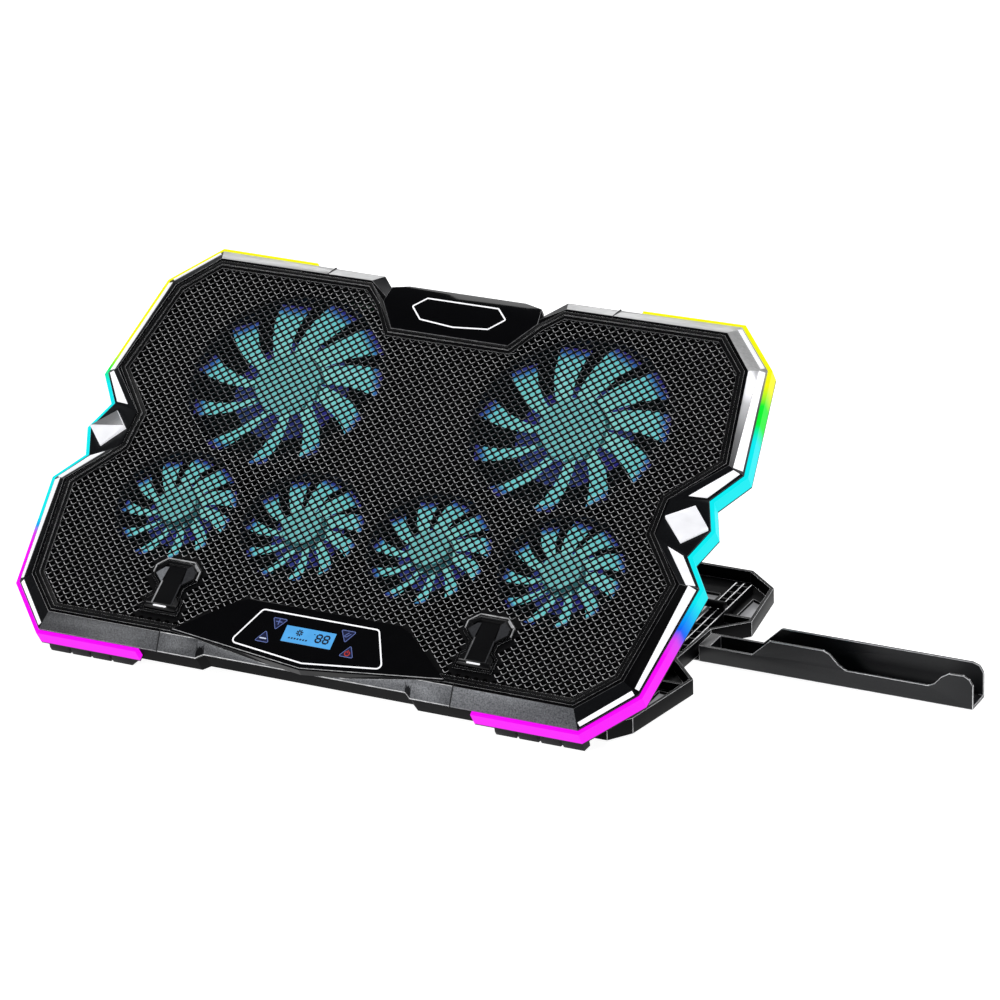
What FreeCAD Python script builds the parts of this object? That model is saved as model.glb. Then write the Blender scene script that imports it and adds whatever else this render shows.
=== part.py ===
import FreeCAD, Part
import math
import os
from FreeCAD import Vector, Rotation, Placement

# Laptop cooling pad: a fan panel tilted on a flat hourglass stand, with a swivel phone tray.
# World frame: +X right, +Y to the back, +Z up, origin on the desk under the middle of the stand.
# Panel frame: x right, y up the slope, z out of the top face; z = 0 is the trim's lower edge.

DIMS = {
    # panel attitude and position (centre of the trim's lower plane)
    "panel_tilt": 33.0, "panel_back": -18.264, "panel_height": 97.549,
    # panel stack, heights in the panel frame
    "trim_lip": 1.0, "trim_top": 7.0, "mesh_level": 4.8, "mesh_thick": 0.8,
    "gasket_top": 7.3, "gasket_step": 6.5, "gasket_width": 5.0, "gem_ridge": 2.9,
    "shell_depth": 14.0, "shell_wall": 2.2, "shell_floor": 2.0, "shell_inset": 1.2,
    "strip_depth": 9.5, "strip_out": 2.6,
    "strip_half_gap": 112.0, "seam_x": 98.0, "inlay_proud": 0.5,
    # fans
    "large_fan_x": 97.0, "large_fan_y": 57.0, "large_fan_radius": 62.0, "large_hub_radius": 20.0,
    "small_fan_y": -44.0, "small_fan_inner_x": 43.0, "small_fan_outer_x": 130.0,
    "small_fan_radius": 38.0, "small_hub_radius": 13.0, "blade_count": 11.0,
    "blade_thick": 1.1, "hub_bottom": -10.0, "hub_top": 1.5, "shaft_radius": 1.5,
    "shaft_gap": 0.05,
    # flip-up laptop stops
    "stop_x": 105.0, "stop_axis_y": -119.0, "stop_axis_z": 5.5, "stop_knuckle": 2.4,
    "stop_pin_radius": 1.0, "stop_gap": 0.06,
    # console and nameplate
    "cover_bottom": 2.0, "cover_top": 7.7, "outline_width": 0.9, "outline_proud": 0.2,
    # stand
    "stand_lift": 1.0, "stand_top": 11.0, "stand_wall": 2.2, "stand_floor": 2.2,
    "hinge_y": -108.0, "hinge_z": 7.0, "hinge_pin": 2.0, "hinge_knuckle": 3.5,
    "hinge_x": 88.0, "hinge_width": 12.0, "hinge_gap": 0.06,
    # prop yoke: equal legs keep its foot on one straight line
    "prop_reach": 104.0, "prop_drop": 18.8, "prop_x": 86.5, "prop_arm_width": 9.0,
    "prop_end": 4.0, "prop_pin": 1.6, "prop_path_slope": 1.5, "prop_foot_radius": 2.4,
    "prop_foot_half": 183.0, "rail_x": 178.3, "rail_width": 11.4, "rail_top": 8.5,
    # phone tray
    "tray_x": 206.0, "tray_y": 11.7, "tray_width": 19.0, "tray_wall": 1.8, "tray_low": 11.8,
    "tray_high": 23.0, "tray_length": 160.0, "tray_inner": 14.5, "tray_block": 6.8,
    "tray_sole": 1.2, "tray_floor": 2.0, "tray_pin": 2.0, "tongue_low": 0.2, "tongue_thick": 0.8,
}

doc = FreeCAD.newDocument("laptop_cooling_pad")
sheet = doc.addObject("Spreadsheet::Sheet", "dims")
for row, (alias, number) in enumerate(DIMS.items(), start=1):
    sheet.set("A%d" % row, alias)
    sheet.set("B%d" % row, "%g" % number)
    sheet.setAlias("B%d" % row, alias)
doc.recompute()
sub_parts = []


def dim(alias):
    return float(sheet.get(alias))


# ---------------------------------------------------------------- frames
tilt = math.radians(dim("panel_tilt"))
PANEL = Placement(Vector(0, dim("panel_back"), dim("panel_height")),
                  Rotation(Vector(1, 0, 0), dim("panel_tilt")))
WORLD = Placement()


def to_panel(y, z):
    """World (y, z) seen in the panel frame."""
    local = PANEL.inverse().multVec(Vector(0, y, z))
    return local.y, local.z


# ---------------------------------------------------------------- helpers
def finish(obj, label, placement=WORLD):
    obj.Label = label
    obj.Placement = placement
    sub_parts.append(obj)
    return obj


def new_body(name):
    return doc.addObject("PartDesign::Body", name)


def plane(body, role):
    return [f for f in body.Origin.OriginFeatures if f.Role == role][0]


def sketch(body, role, offset):
    sk = body.newObject("Sketcher::SketchObject", body.Name + "_sketch")
    sk.AttachmentSupport = [(plane(body, role), "")]
    sk.MapMode = "FlatFace"
    if isinstance(offset, str):
        sk.setExpression("AttachmentOffset.Base.z", offset)
    else:
        sk.AttachmentOffset = Placement(Vector(0, 0, offset), Rotation())
    return sk


def draw_polygon(sk, points):
    count = len(points)
    for i in range(count):
        x0, y0 = points[i]
        x1, y1 = points[(i + 1) % count]
        sk.addGeometry(Part.LineSegment(Vector(x0, y0, 0), Vector(x1, y1, 0)), False)


def draw_circle(sk, x, y, radius):
    sk.addGeometry(Part.Circle(Vector(x, y, 0), Vector(0, 0, 1), radius), False)


def set_length(feature, length):
    if isinstance(length, str):
        feature.setExpression("Length", length)
    else:
        feature.Length = length


def pad(body, loops, offset, length, role="XY_Plane", circles=()):
    """Pad polygons and circles; returns the feature."""
    sk = sketch(body, role, offset)
    for loop in loops:
        draw_polygon(sk, loop)
    for circle in circles:
        draw_circle(sk, *circle)
    feature = body.newObject("PartDesign::Pad", body.Name + "_pad")
    feature.Profile = sk
    set_length(feature, length)
    return feature


def pocket(body, loops, offset, length, role="XY_Plane", circles=(), upward=True):
    """Pocket from the sketch plane towards the sketch's normal (upward) or away from it."""
    sk = sketch(body, role, offset)
    for loop in loops:
        draw_polygon(sk, loop)
    for circle in circles:
        draw_circle(sk, *circle)
    feature = body.newObject("PartDesign::Pocket", body.Name + "_pocket")
    feature.Profile = sk
    set_length(feature, length)
    feature.Reversed = upward
    return feature


def prism(name, loops, offset, length, circles=()):
    body = new_body(name)
    pad(body, loops, offset, length, circles=circles)
    return body


def boolean(kind, name, base, tool):
    obj = doc.addObject("Part::" + kind, name)
    obj.Base = base
    obj.Tool = tool
    return obj


def group(name, members):
    obj = doc.addObject("Part::MultiFuse", name)
    obj.Shapes = members
    return obj


def box(name, x0, x1, y0, y1, z0, z1):
    obj = doc.addObject("Part::Box", name)
    obj.Length = x1 - x0
    obj.Width = y1 - y0
    obj.Height = z1 - z0
    obj.Placement = Placement(Vector(x0, y0, z0), Rotation())
    return obj


def rod(name, radius, x0, x1, y, z):
    """Cylinder along X; radius is a dimension's alias."""
    obj = doc.addObject("Part::Cylinder", name)
    obj.setExpression("Radius", "dims." + radius)
    obj.Height = x1 - x0
    obj.Placement = Placement(Vector(x0, y, z), Rotation(Vector(0, 1, 0), 90))
    return obj


def mirror_x(points):
    return [(-x, y) for x, y in points]


def both_sides(half):
    """Close a right-hand half outline, ordered rear to front, with its mirror image."""
    return half + [(-x, y) for x, y in reversed(half) if abs(x) > 0.01]


def rectangle(x0, x1, y0, y1):
    return [(x0, y0), (x1, y0), (x1, y1), (x0, y1)]


def inset(points, distance):
    """Mitred offset of a closed polygon; positive distances go inwards."""
    count = len(points)
    area = sum(points[i][0] * points[(i + 1) % count][1] - points[(i + 1) % count][0] * points[i][1]
               for i in range(count))
    side = 1.0 if area > 0 else -1.0
    result = []
    for i in range(count):
        before, here, after = (Vector(*points[j % count], 0) for j in (i - 1, i, i + 1))
        into = (here - before).normalize()
        out = (after - here).normalize()
        n_in = Vector(-into.y, into.x, 0) * side
        n_out = Vector(-out.y, out.x, 0) * side
        corner = (n_in + n_out) * (distance / (1.0 + n_in.dot(n_out)))
        result.append((here.x + corner.x, here.y + corner.y))
    return result


# ---------------------------------------------------------------- outlines, panel frame
# right half of the trim's lower edge, from the rear neck round to the front
OUTER_HALF = [(0, 134), (40, 134), (51.5, 131.5), (63, 143), (178.5, 144), (205, 116), (216.5, 41),
              (202, 20), (210.3, 0), (202.5, -20), (217.5, -40), (207.5, -116.5), (180, -146.3),
              (71.8, -146.3), (67.4, -142.9), (0, -142.9)]
# the same corners where the bevel meets the top face
CREST_HALF = [(0, 126), (37, 126), (50, 122.3), (67, 134.6), (173.6, 134.6), (196, 110), (208, 42.5),
              (181, 13.4), (181, 0), (181, -13.3), (207.6, -43), (198, -112.8), (175.4, -136.3),
              (71.8, -136.3), (67.4, -136.3), (0, -136.3)]
# edge of the opening that holds the mesh
MESH_HALF = [(0, 101.4), (40, 101.4), (53, 120.3), (66, 132.6), (172.6, 132.6), (194, 109.2),
             (206, 43.2), (179.5, 12), (180, -12), (205.4, -43.4), (196, -111.8), (174.4, -134.4),
             (0, -134.4)]
OUTER = both_sides(OUTER_HALF)
CREST = both_sides(CREST_HALF)
MESH = both_sides(MESH_HALF)
SHELL = inset(OUTER, dim("shell_inset"))
CONSOLE = both_sides([(0, -103.4), (50, -103.4), (59, -107.3), (92, -134.2), (0, -144.9)])
CONSOLE_LINE = both_sides([(0, -108.4), (39, -108.4), (51.5, -134.6), (0, -140.6)])
NAMEPLATE = both_sides([(0, 134), (40, 134), (51.5, 131.5), (53, 120.3), (40, 101.4), (0, 101.4)])
NAME_LINE = [(-33, 119.7), (-25, 127.5), (24, 127.5), (32, 119.7), (23, 110.6), (-0.5, 108.3),
             (-24, 110.6)]
# gem outline in its own frame: origin on the crest, x down the slope of the waist facet
DIAMOND = [(1.7, -0.4), (15.6, 13.3), (28.5, -0.6), (15.8, -13.5)]

LARGE_FANS = {"left": (-dim("large_fan_x"), dim("large_fan_y")),
              "right": (dim("large_fan_x"), dim("large_fan_y"))}
SMALL_FANS = {"1": (-dim("small_fan_outer_x"), dim("small_fan_y")),
              "2": (-dim("small_fan_inner_x"), dim("small_fan_y")),
              "3": (dim("small_fan_inner_x"), dim("small_fan_y")),
              "4": (dim("small_fan_outer_x"), dim("small_fan_y"))}


# ---------------------------------------------------------------- bevelled trim in five pieces
def bevel_blank(name, lift):
    """Solid between the outer edge and the crest of the bevel, raised by lift."""
    body = new_body(name)
    pad(body, [OUTER], lift, "dims.trim_lip")
    low = sketch(body, "XY_Plane", dim("trim_lip") + lift)
    draw_polygon(low, OUTER)
    high = sketch(body, "XY_Plane", dim("trim_top") + lift)
    draw_polygon(high, CREST)
    loft = body.newObject("PartDesign::AdditiveLoft", name + "_bevel")
    loft.Profile = low
    loft.Sections = [high]
    loft.Ruled = True
    return body


def gem_block(name, side, top):
    """Upright diamond block on the waist facet, in the gem's own frame."""
    block = prism(name, [DIAMOND if side > 0 else mirror_x(DIAMOND)], -0.9, top)
    slope = Rotation(Vector(0, 1, 0), side * math.degrees(math.asin(6.0 / 29.3)))
    return block, Placement(Vector(side * 181.0, 0, 7.0), slope)


def gem_well(side):
    well, place = gem_block("gem_well", side, 12)
    well.Placement = place
    return well


blank = bevel_blank("trim_blank", 0.0)
wells = group("trim_wells", [
    prism("mesh_well", [MESH], -3, 14),
    prism("console_well", [CONSOLE], dim("cover_bottom"), 10),
    prism("nameplate_well", [NAMEPLATE], -3, 14),
    gem_well(1), gem_well(-1),
])
trim_ring = boolean("Cut", "trim_ring", blank, wells)
seam = dim("seam_x")
for label, span in {"trim_left": (-300, -seam, -200, 200), "trim_right": (seam, 300, -200, 200),
                    "trim_front": (-seam, seam, -200, 0), "trim_rear_left": (-seam, -45, 0, 200),
                    "trim_rear_right": (45, seam, 0, 200)}.items():
    piece = boolean("Common", label, trim_ring, box(label + "_span", *span, -10, 20))
    finish(piece, label, PANEL)

# chrome bars lie on the bevel beside the outer edge; runs are (start, end, width there, width here)
INLAY_RUNS = [(4, 5, 3.3, 3.3), (5, 6, 4.2, 5.8), (10, 11, 5.2, 3.0), (11, 12, 3.2, 3.0)]
WAIST_BARS = [[(210.9, 41.0), (214.4, 40.5), (200.5, 20.9), (190.6, 18.4)],
              [(190.6, -18.2), (200.6, -21.0), (215.2, -39.6), (210.6, -41.6)]]
raised = bevel_blank("inlay_blank", dim("inlay_proud"))
inlay_skin = boolean("Cut", "inlay_skin", raised, blank)


def inlay_bar(start, end, width_start, width_end):
    """Plan shape of one bar, from a narrow margin to the given widths off the outer edge."""
    a, b = Vector(*OUTER_HALF[start], 0), Vector(*OUTER_HALF[end], 0)
    along = (b - a).normalize()
    inward = Vector(along.y, -along.x, 0)
    length = (b - a).Length
    first, last = a + along * 2.2, a + along * (length - 2.2)
    corners = [first + inward * 0.8, last + inward * 0.8,
               last + inward * width_end, first + inward * width_start]
    return [(c.x, c.y) for c in corners]


bars = [inlay_bar(*run) for run in INLAY_RUNS] + WAIST_BARS
for label, loops in {"chrome_inlays_right": bars, "chrome_inlays_left": [mirror_x(b) for b in bars]}.items():
    prisms = prism(label + "_plan", loops, dim("trim_lip") + 0.7, 10)
    finish(boolean("Common", label, inlay_skin, prisms), label, PANEL)

for label, side in {"diamond_right": 1, "diamond_left": -1}.items():
    block, place = gem_block(label + "_block", side, 5.0)
    tent = new_body(label + "_tent")
    pad(tent, [[(-14, -2), (14, -2), (14, 0.1), (0, dim("gem_ridge")), (-14, 0.1)]], -40, 80, "YZ_Plane")
    finish(boolean("Common", label, block, tent), label, PANEL.multiply(place))

# ---------------------------------------------------------------- lower shell
SHELL_INNER = inset(SHELL, dim("shell_wall"))
fan_holes = [(x, y, dim("large_fan_radius") - 1.0) for x, y in LARGE_FANS.values()]
fan_holes += [(x, y, dim("small_fan_radius") - 1.0) for x, y in SMALL_FANS.values()]
shell = new_body("bottom_shell")
pad(shell, [SHELL], "-dims.shell_depth", "dims.shell_depth")
pocket(shell, [SHELL_INNER], "dims.shell_floor - dims.shell_depth", "dims.shell_depth")
pocket(shell, [], "-dims.shell_depth", "dims.shell_floor", circles=fan_holes)
hinge_py, hinge_pz = to_panel(dim("hinge_y"), dim("hinge_z"))
prop_py, prop_pz = hinge_py + dim("prop_reach"), -dim("prop_drop")


def lug(body, x0, x1, y, z, radius, top):
    """Rounded lug hanging from the height top, with its eye at (y, z); x0 to x1 wide."""
    pad(body, [rectangle(y - radius, y + radius, z, top)], x0, x1 - x0, "YZ_Plane")
    pad(body, [], x0, x1 - x0, "YZ_Plane", circles=[(y, z, radius)])


half_arm = dim("prop_arm_width") / 2
for side in (-1, 1):
    knuckle = sorted((side * (dim("hinge_x") - dim("hinge_width") / 2),
                      side * (dim("hinge_x") + dim("hinge_width") / 2)))
    lug(shell, knuckle[0], knuckle[1], hinge_py, hinge_pz, dim("hinge_knuckle"), -13.5)
    for inner in (-half_arm - 3.4, half_arm + 0.4):
        lug(shell, side * dim("prop_x") + inner, side * dim("prop_x") + inner + 3.0,
            prop_py, prop_pz, dim("prop_end"), -13.5)
pocket(shell, [], -120, 240, "YZ_Plane",
       circles=[(hinge_py, hinge_pz, dim("hinge_pin") + dim("hinge_gap"))])
pocket(shell, [], -120, 240, "YZ_Plane", circles=[(prop_py, prop_pz, dim("prop_pin"))])
usb_window = rectangle(-92, -70, -11, -4)
pocket(shell, [usb_window], -145, 6, "XZ_Plane")
finish(shell, "bottom_shell", PANEL)

# ---------------------------------------------------------------- light strips
strip_ring = boolean("Cut", "strip_ring",
                     prism("strip_outside", [inset(OUTER, -dim("strip_out"))], "-dims.strip_depth",
                           "dims.strip_depth"),
                     prism("strip_inside", [SHELL], "-dims.strip_depth", "dims.strip_depth"))
tape_ring = boolean("Cut", "tape_ring", prism("tape_outside", [SHELL_INNER], -8, 6),
                    prism("tape_inside", [inset(SHELL_INNER, 0.8)], -8, 6))
edge = dim("strip_half_gap")
for side, span in {"left": (-300, -edge), "right": (edge, 300)}.items():
    for node, ring in {"light_strip_": strip_ring, "led_tape_": tape_ring}.items():
        cutter = box(node + side + "_span", span[0], span[1], -200, 200, -20, 20)
        finish(boolean("Common", node + side, ring, cutter), node + side, PANEL)

# ---------------------------------------------------------------- flip-up stops
axis_y, axis_z = dim("stop_axis_y"), dim("stop_axis_z")
STOP_PLAN = both_sides([(0, axis_y + 32.0), (8.5, axis_y + 32.0), (13.5, axis_y + 27.5),
                        (13.5, axis_y + 21.5), (7.0, axis_y + 15.5), (7.0, axis_y + 8.0),
                        (10.5, axis_y + 4.5), (10.5, axis_y), (0, axis_y)])
CRADLE_PLAN = inset(both_sides([(0, axis_y + 32.0), (8.5, axis_y + 32.0), (13.5, axis_y + 27.5),
                                (13.5, axis_y + 21.5), (7.0, axis_y + 15.5), (7.0, axis_y + 8.0),
                                (10.5, axis_y + 4.5), (10.5, axis_y - 2.6), (0, axis_y - 2.6)]), -2.2)
CRADLE_WELL = inset(CRADLE_PLAN, 1.6)
STOP_DISH = both_sides([(0, axis_y + 29.5), (7.2, axis_y + 29.5), (11.0, axis_y + 26.2),
                        (11.0, axis_y + 22.8), (4.6, axis_y + 17.0), (4.6, axis_y + 6.0),
                        (0, axis_y + 6.0)])


def shift(points, dx):
    return [(x + dx, y) for x, y in points]


for side, sign in {"left": -1, "right": 1}.items():
    x = sign * dim("stop_x")
    stop = new_body("stop_" + side)
    pad(stop, [shift(STOP_PLAN, x)], axis_z - 1.9, 3.8)
    pad(stop, [], x - 10.5, 21.0, "YZ_Plane", circles=[(axis_y, axis_z, dim("stop_knuckle"))])
    pocket(stop, [shift(STOP_DISH, x)], axis_z + 0.7, 2.0)
    pocket(stop, [], x - 12, 24, "YZ_Plane",
           circles=[(axis_y, axis_z, dim("stop_pin_radius") + dim("stop_gap"))])
    finish(stop, "stop_" + side, PANEL)
    cradle = new_body("stop_cradle_" + side)
    pad(cradle, [shift(CRADLE_PLAN, x)], 1.6, 5.0)
    pocket(cradle, [shift(CRADLE_WELL, x)], 2.7, 6.0)
    pocket(cradle, [], x - 16, 32, "YZ_Plane", circles=[(axis_y, axis_z, dim("stop_pin_radius"))])
    finish(cradle, "stop_cradle_" + side, PANEL)
    finish(rod("stop_pin_" + side, "stop_pin_radius", x - 12.6, x + 12.6, axis_y, axis_z),
           "stop_pin_" + side, PANEL.multiply(Placement(Vector(x - 12.6, axis_y, axis_z),
                                                        Rotation(Vector(0, 1, 0), 90))))

# ---------------------------------------------------------------- perforated mesh and its gasket
def wire(points, z):
    return Part.makePolygon([Vector(x, y, z) for x, y in points + points[:1]])


def perforated_mesh():
    """Sheet with round holes on a staggered grid over the fans."""
    level = dim("mesh_level")
    sheet_face = Part.Face(wire(MESH, level))
    voids = [CONSOLE, NAMEPLATE]
    voids += [shift(CRADLE_PLAN, sign * dim("stop_x")) for sign in (-1, 1)]
    for loop in voids:
        cutter = Part.Face(wire(loop, level - 1)).extrude(Vector(0, 0, 2))
        sheet_face = sheet_face.cut(cutter)
    outer_face = max(sheet_face.Faces, key=lambda face: face.Area)
    pitch_x, pitch_y, radius = 8.85, 4.65, 2.1
    holes = []
    for fx, fy, fan_radius in fan_holes:
        rows = int(fan_radius / pitch_y) + 1
        for row in range(-rows, rows + 1):
            stagger = 0.5 * pitch_x * (row % 2)
            for column in range(-8, 9):
                dx, dy = column * pitch_x + stagger, row * pitch_y
                if math.hypot(dx, dy) < fan_radius - radius - 1.5:
                    centre = Vector(fx + dx, fy + dy, level)
                    ring = Part.Wire(Part.Circle(centre, Vector(0, 0, 1), radius).toShape())
                    holes.append(ring)
    face = Part.Face([outer_face.OuterWire] + outer_face.Wires[1:] + holes)
    face.validate()
    return face.extrude(Vector(0, 0, dim("mesh_thick")))


mesh = doc.addObject("Part::Feature", "mesh_grille")
mesh.Shape = perforated_mesh()
finish(mesh, "mesh_grille", PANEL)

gasket_base = dim("mesh_level") + dim("mesh_thick")
gasket = new_body("gasket_ring")
step_line, lip_line = inset(MESH, 0.5 * dim("gasket_width")), inset(MESH, dim("gasket_width"))
pad(gasket, [MESH, lip_line], gasket_base, dim("gasket_step") - gasket_base)
pad(gasket, [MESH, step_line], dim("gasket_step"), dim("gasket_top") - dim("gasket_step"))
gasket_tools = group("gasket_tools", [prism("gasket_console", [inset(CONSOLE, -0.1)], 0, 12),
                                      prism("gasket_nameplate", [inset(NAMEPLATE, -0.1)], 0, 12)])
finish(boolean("Cut", "mesh_gasket", gasket, gasket_tools), "mesh_gasket", PANEL)

# ---------------------------------------------------------------- nameplate, console, electronics
cover_top = dim("cover_top")


def outline_ring(label, loop):
    ring = prism(label, [loop, inset(loop, dim("outline_width"))], cover_top, "dims.outline_proud")
    return finish(ring, label, PANEL)


finish(prism("nameplate", [NAMEPLATE], "dims.cover_bottom", "dims.cover_top - dims.cover_bottom"),
       "nameplate", PANEL)
outline_ring("nameplate_outline", NAME_LINE)

console = new_body("console_cover")
pad(console, [CONSOLE], "dims.cover_bottom", "dims.cover_top - dims.cover_bottom")
LCD = rectangle(-19.6, 13.6, -127.6, -116.4)
pocket(console, [LCD], cover_top - 1.4, 2.0)
finish(console, "console_cover", PANEL)
outline_ring("console_outline", CONSOLE_LINE)
finish(prism("lcd_window", [inset(LCD, 0.1)], cover_top - 1.4, 1.3), "lcd_window", PANEL)

KEYS = {"plus": [(-30.2, -112.9), (-20.0, -112.9), (-25.9, -121.4)],
        "minus": [(-26.2, -130.8), (-30.8, -122.4), (-36.0, -130.8)],
        "light": [(15.4, -112.9), (25.8, -112.9), (20.9, -121.6)],
        "power": [(30.3, -130.8), (25.9, -122.4), (20.3, -130.8)]}
key_loops = []
for key in KEYS.values():
    key_loops += [key, inset(key, 0.7)]
finish(prism("key_marks", key_loops, cover_top, 0.15), "key_marks", PANEL)

board = box("board_plate", -62, 62, -131, -106, -1.0, 0.6)
chip = box("control_chip", -8, 8, -124, -114, -2.6, -1.0)
socket = box("board_socket", 40, 52, -122, -112, -5.0, -1.0)
finish(group("control_board_set", [board, chip, socket]), "control_board", PANEL)
posts = new_body("board_posts")
post_spots = [(x, y, 2.2) for x in (-56, 56) for y in (-128, -109)]
pad(posts, [], dim("shell_floor") - dim("shell_depth"), 11.0, circles=post_spots)
finish(posts, "board_posts", PANEL)

usb = new_body("usb_sockets")
pad(usb, [rectangle(-91.6, -70.4, -10.6, -4.4)], -141.5, 15, "XZ_Plane")
pocket(usb, [rectangle(-90.6, -82.4, -9.6, -5.4), rectangle(-79.6, -71.4, -9.6, -5.4)],
       -141.5, 11, "XZ_Plane")
finish(usb, "usb_sockets", PANEL)
usb_board = box("usb_board_plate", -94, -68, 125, 139.2, -12, -10.6)
finish(usb_board, "usb_board", PANEL.multiply(usb_board.Placement))


# ---------------------------------------------------------------- fans
def polar(body, feature, count, angle=360.0):
    pattern = body.newObject("PartDesign::PolarPattern", body.Name + "_pattern")
    pattern.Originals = [feature]
    pattern.Axis = (plane(body, "Z_Axis"), [""])
    pattern.Angle = angle
    if isinstance(count, str):
        pattern.setExpression("Occurrences", count)
    else:
        pattern.Occurrences = count
    body.Tip = pattern
    return pattern


def blade_section(body, radius, sweep, chord, pitch):
    """Thin slanted rectangle on a plane square to the blade at the given radius."""
    sk = sketch(body, "YZ_Plane", radius)
    angle = math.radians(pitch)
    along = Vector(math.cos(angle), math.sin(angle), 0) * (chord / 2)
    across = Vector(-math.sin(angle), math.cos(angle), 0) * (dim("blade_thick") / 2)
    middle = Vector(sweep, -4.3, 0)
    corners = [middle - along - across, middle + along - across,
               middle + along + across, middle - along + across]
    draw_polygon(sk, [(c.x, c.y) for c in corners])
    return sk


def fan_rotor(label, x, y, size):
    radius, hub = dim(size + "_fan_radius"), dim(size + "_hub_radius")
    rotor = new_body(label)
    pad(rotor, [], "dims.hub_bottom", "dims.hub_top - dims.hub_bottom", circles=[(0, 0, hub)])
    pad(rotor, [], -13.4, 3.6, circles=[(0, 0, dim("shaft_radius"))])
    reach = radius - hub
    blade = rotor.newObject("PartDesign::AdditiveLoft", label + "_blade")
    blade.Profile = blade_section(rotor, hub - 1.5, 0.0, 0.52 * hub, 38)
    blade.Sections = [blade_section(rotor, hub + 0.45 * reach, -0.07 * reach, 0.26 * radius, 32),
                      blade_section(rotor, hub + 1.08 * reach, -0.38 * reach, 0.38 * radius, 24)]
    polar(rotor, blade, "dims.blade_count")
    pocket(rotor, [], -15, 30, circles=[(0, 0, radius), (0, 0, radius + 30)])
    finish(rotor, label, PANEL.multiply(Placement(Vector(x, y, 0), Rotation())))


def fan_stator(label, x, y, size):
    """Motor boss, six spokes and guard rings in the floor opening."""
    radius = dim(size + "_fan_radius")
    hole, boss = radius - 1.0, dim(size + "_hub_radius") - 2.0
    low = -dim("shell_depth")
    stator = new_body(label)
    pad(stator, [], low, 3.5, circles=[(0, 0, boss)])
    spoke = pad(stator, [rectangle(-hole + 1, hole - 1, -1.5, 1.5)], low, dim("shell_floor"))
    polar(stator, spoke, 3, 180.0)
    pad(stator, [], low, dim("shell_floor"), circles=[(0, 0, hole), (0, 0, hole - 2.4)])
    middle = 0.5 * (hole + boss)
    pad(stator, [], low, dim("shell_floor"), circles=[(0, 0, middle + 0.8), (0, 0, middle - 0.8)])
    pocket(stator, [], low - 1, 8, circles=[(0, 0, dim("shaft_radius") + dim("shaft_gap"))])
    finish(stator, label, PANEL.multiply(Placement(Vector(x, y, 0), Rotation())))


for name, (x, y) in LARGE_FANS.items():
    fan_rotor("fan_rotor_large_" + name, x, y, "large")
    fan_stator("fan_stator_large_" + name, x, y, "large")
for name, (x, y) in SMALL_FANS.items():
    fan_rotor("fan_rotor_small_" + name, x, y, "small")
    fan_stator("fan_stator_small_" + name, x, y, "small")

shroud_walls = []
for x, y, hole in fan_holes:
    shroud_walls += [(x, y, hole + 2.1), (x, y, hole + 3.2)]
finish(prism("fan_shrouds", [], "dims.shell_floor - dims.shell_depth", 12.0, circles=shroud_walls),
       "fan_shrouds", PANEL)


# ---------------------------------------------------------------- front feet
def foot_profile():
    """Foot section in the panel's (y, z): flush above, with a facet that lies on the desk."""
    def desk(y):
        return -(dim("panel_height") + y * math.sin(tilt)) / math.cos(tilt)
    return [(-146.0, -14.0), (-147.4, -17.5), (-147.4, desk(-147.4)), (-140.8, desk(-140.8)),
            (-137.5, -14.0)]


for side, sign in {"left": -1, "right": 1}.items():
    foot = new_body("front_foot_" + side)
    start = min(sign * 122.0, sign * 179.0)
    pad(foot, [foot_profile()], start, 57.0, "YZ_Plane")
    for step in (1, 2, 3):
        middle = start + step * 57.0 / 4
        pocket(foot, [rectangle(middle - 0.8, middle + 0.8, -150, -139.5)], -28, 12.5)
    finish(foot, "front_foot_" + side, PANEL)

# ---------------------------------------------------------------- stand
STAND = both_sides([(0, 115), (178, 115), (200, 96), (207, 46), (188.5, 27), (186.5, -17.5),
                    (207, -40), (196, -101), (186, -115), (0, -115)])
STAND_INNER = inset(STAND, dim("stand_wall"))
WINDOW_MID = rectangle(9, 62, -88, 92)
WINDOW_SIDE = rectangle(74, 166, -88, 92)
WINDOW_REAR = [(188, 92), (196, 88), (199, 62), (188, 62)]
WINDOW_FRONT = [(188, -47), (200, -49), (194, -84), (188, -84)]
windows = []
for window in (WINDOW_MID, WINDOW_SIDE, WINDOW_REAR, WINDOW_FRONT):
    windows += [window, mirror_x(window)]
hinge_y, hinge_z = dim("hinge_y"), dim("hinge_z")
tray_x, tray_y = dim("tray_x"), dim("tray_y")
floor_top = dim("stand_lift") + dim("stand_floor")
stand = new_body("stand_frame")
pad(stand, [STAND], "dims.stand_lift", "dims.stand_top - dims.stand_lift")
pocket(stand, [STAND_INNER], "dims.stand_lift + dims.stand_floor", "dims.stand_top")
pocket(stand, windows, 0, 6)
for side in (-1, 1):
    span = sorted((side * 81.2, side * 94.8))
    pocket(stand, [rectangle(span[0], span[1], -117, -111)], 5.0, 10)
    for inner in (-10.0, 6.4):
        x0 = side * dim("hinge_x") + inner
        pad(stand, [rectangle(hinge_y - 4.2, hinge_y + 4.2, floor_top - 0.5, hinge_z)], x0, 3.6,
            "YZ_Plane")
        pad(stand, [], x0, 3.6, "YZ_Plane", circles=[(hinge_y, hinge_z, 4.2)])
    for y_rib, x_end in ((55.0, 203.0), (-44.0, 203.0)):
        rib = sorted((side * 185.0, side * x_end))
        pad(stand, [rectangle(rib[0], rib[1], y_rib - 1, y_rib + 1)], floor_top - 0.5, 6.0)
pad(stand, [rectangle(-1, 1, -110, 110)], floor_top - 0.5, 2.3)
pocket(stand, [], -120, 240, "YZ_Plane", circles=[(hinge_y, hinge_z, dim("hinge_pin"))])
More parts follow.
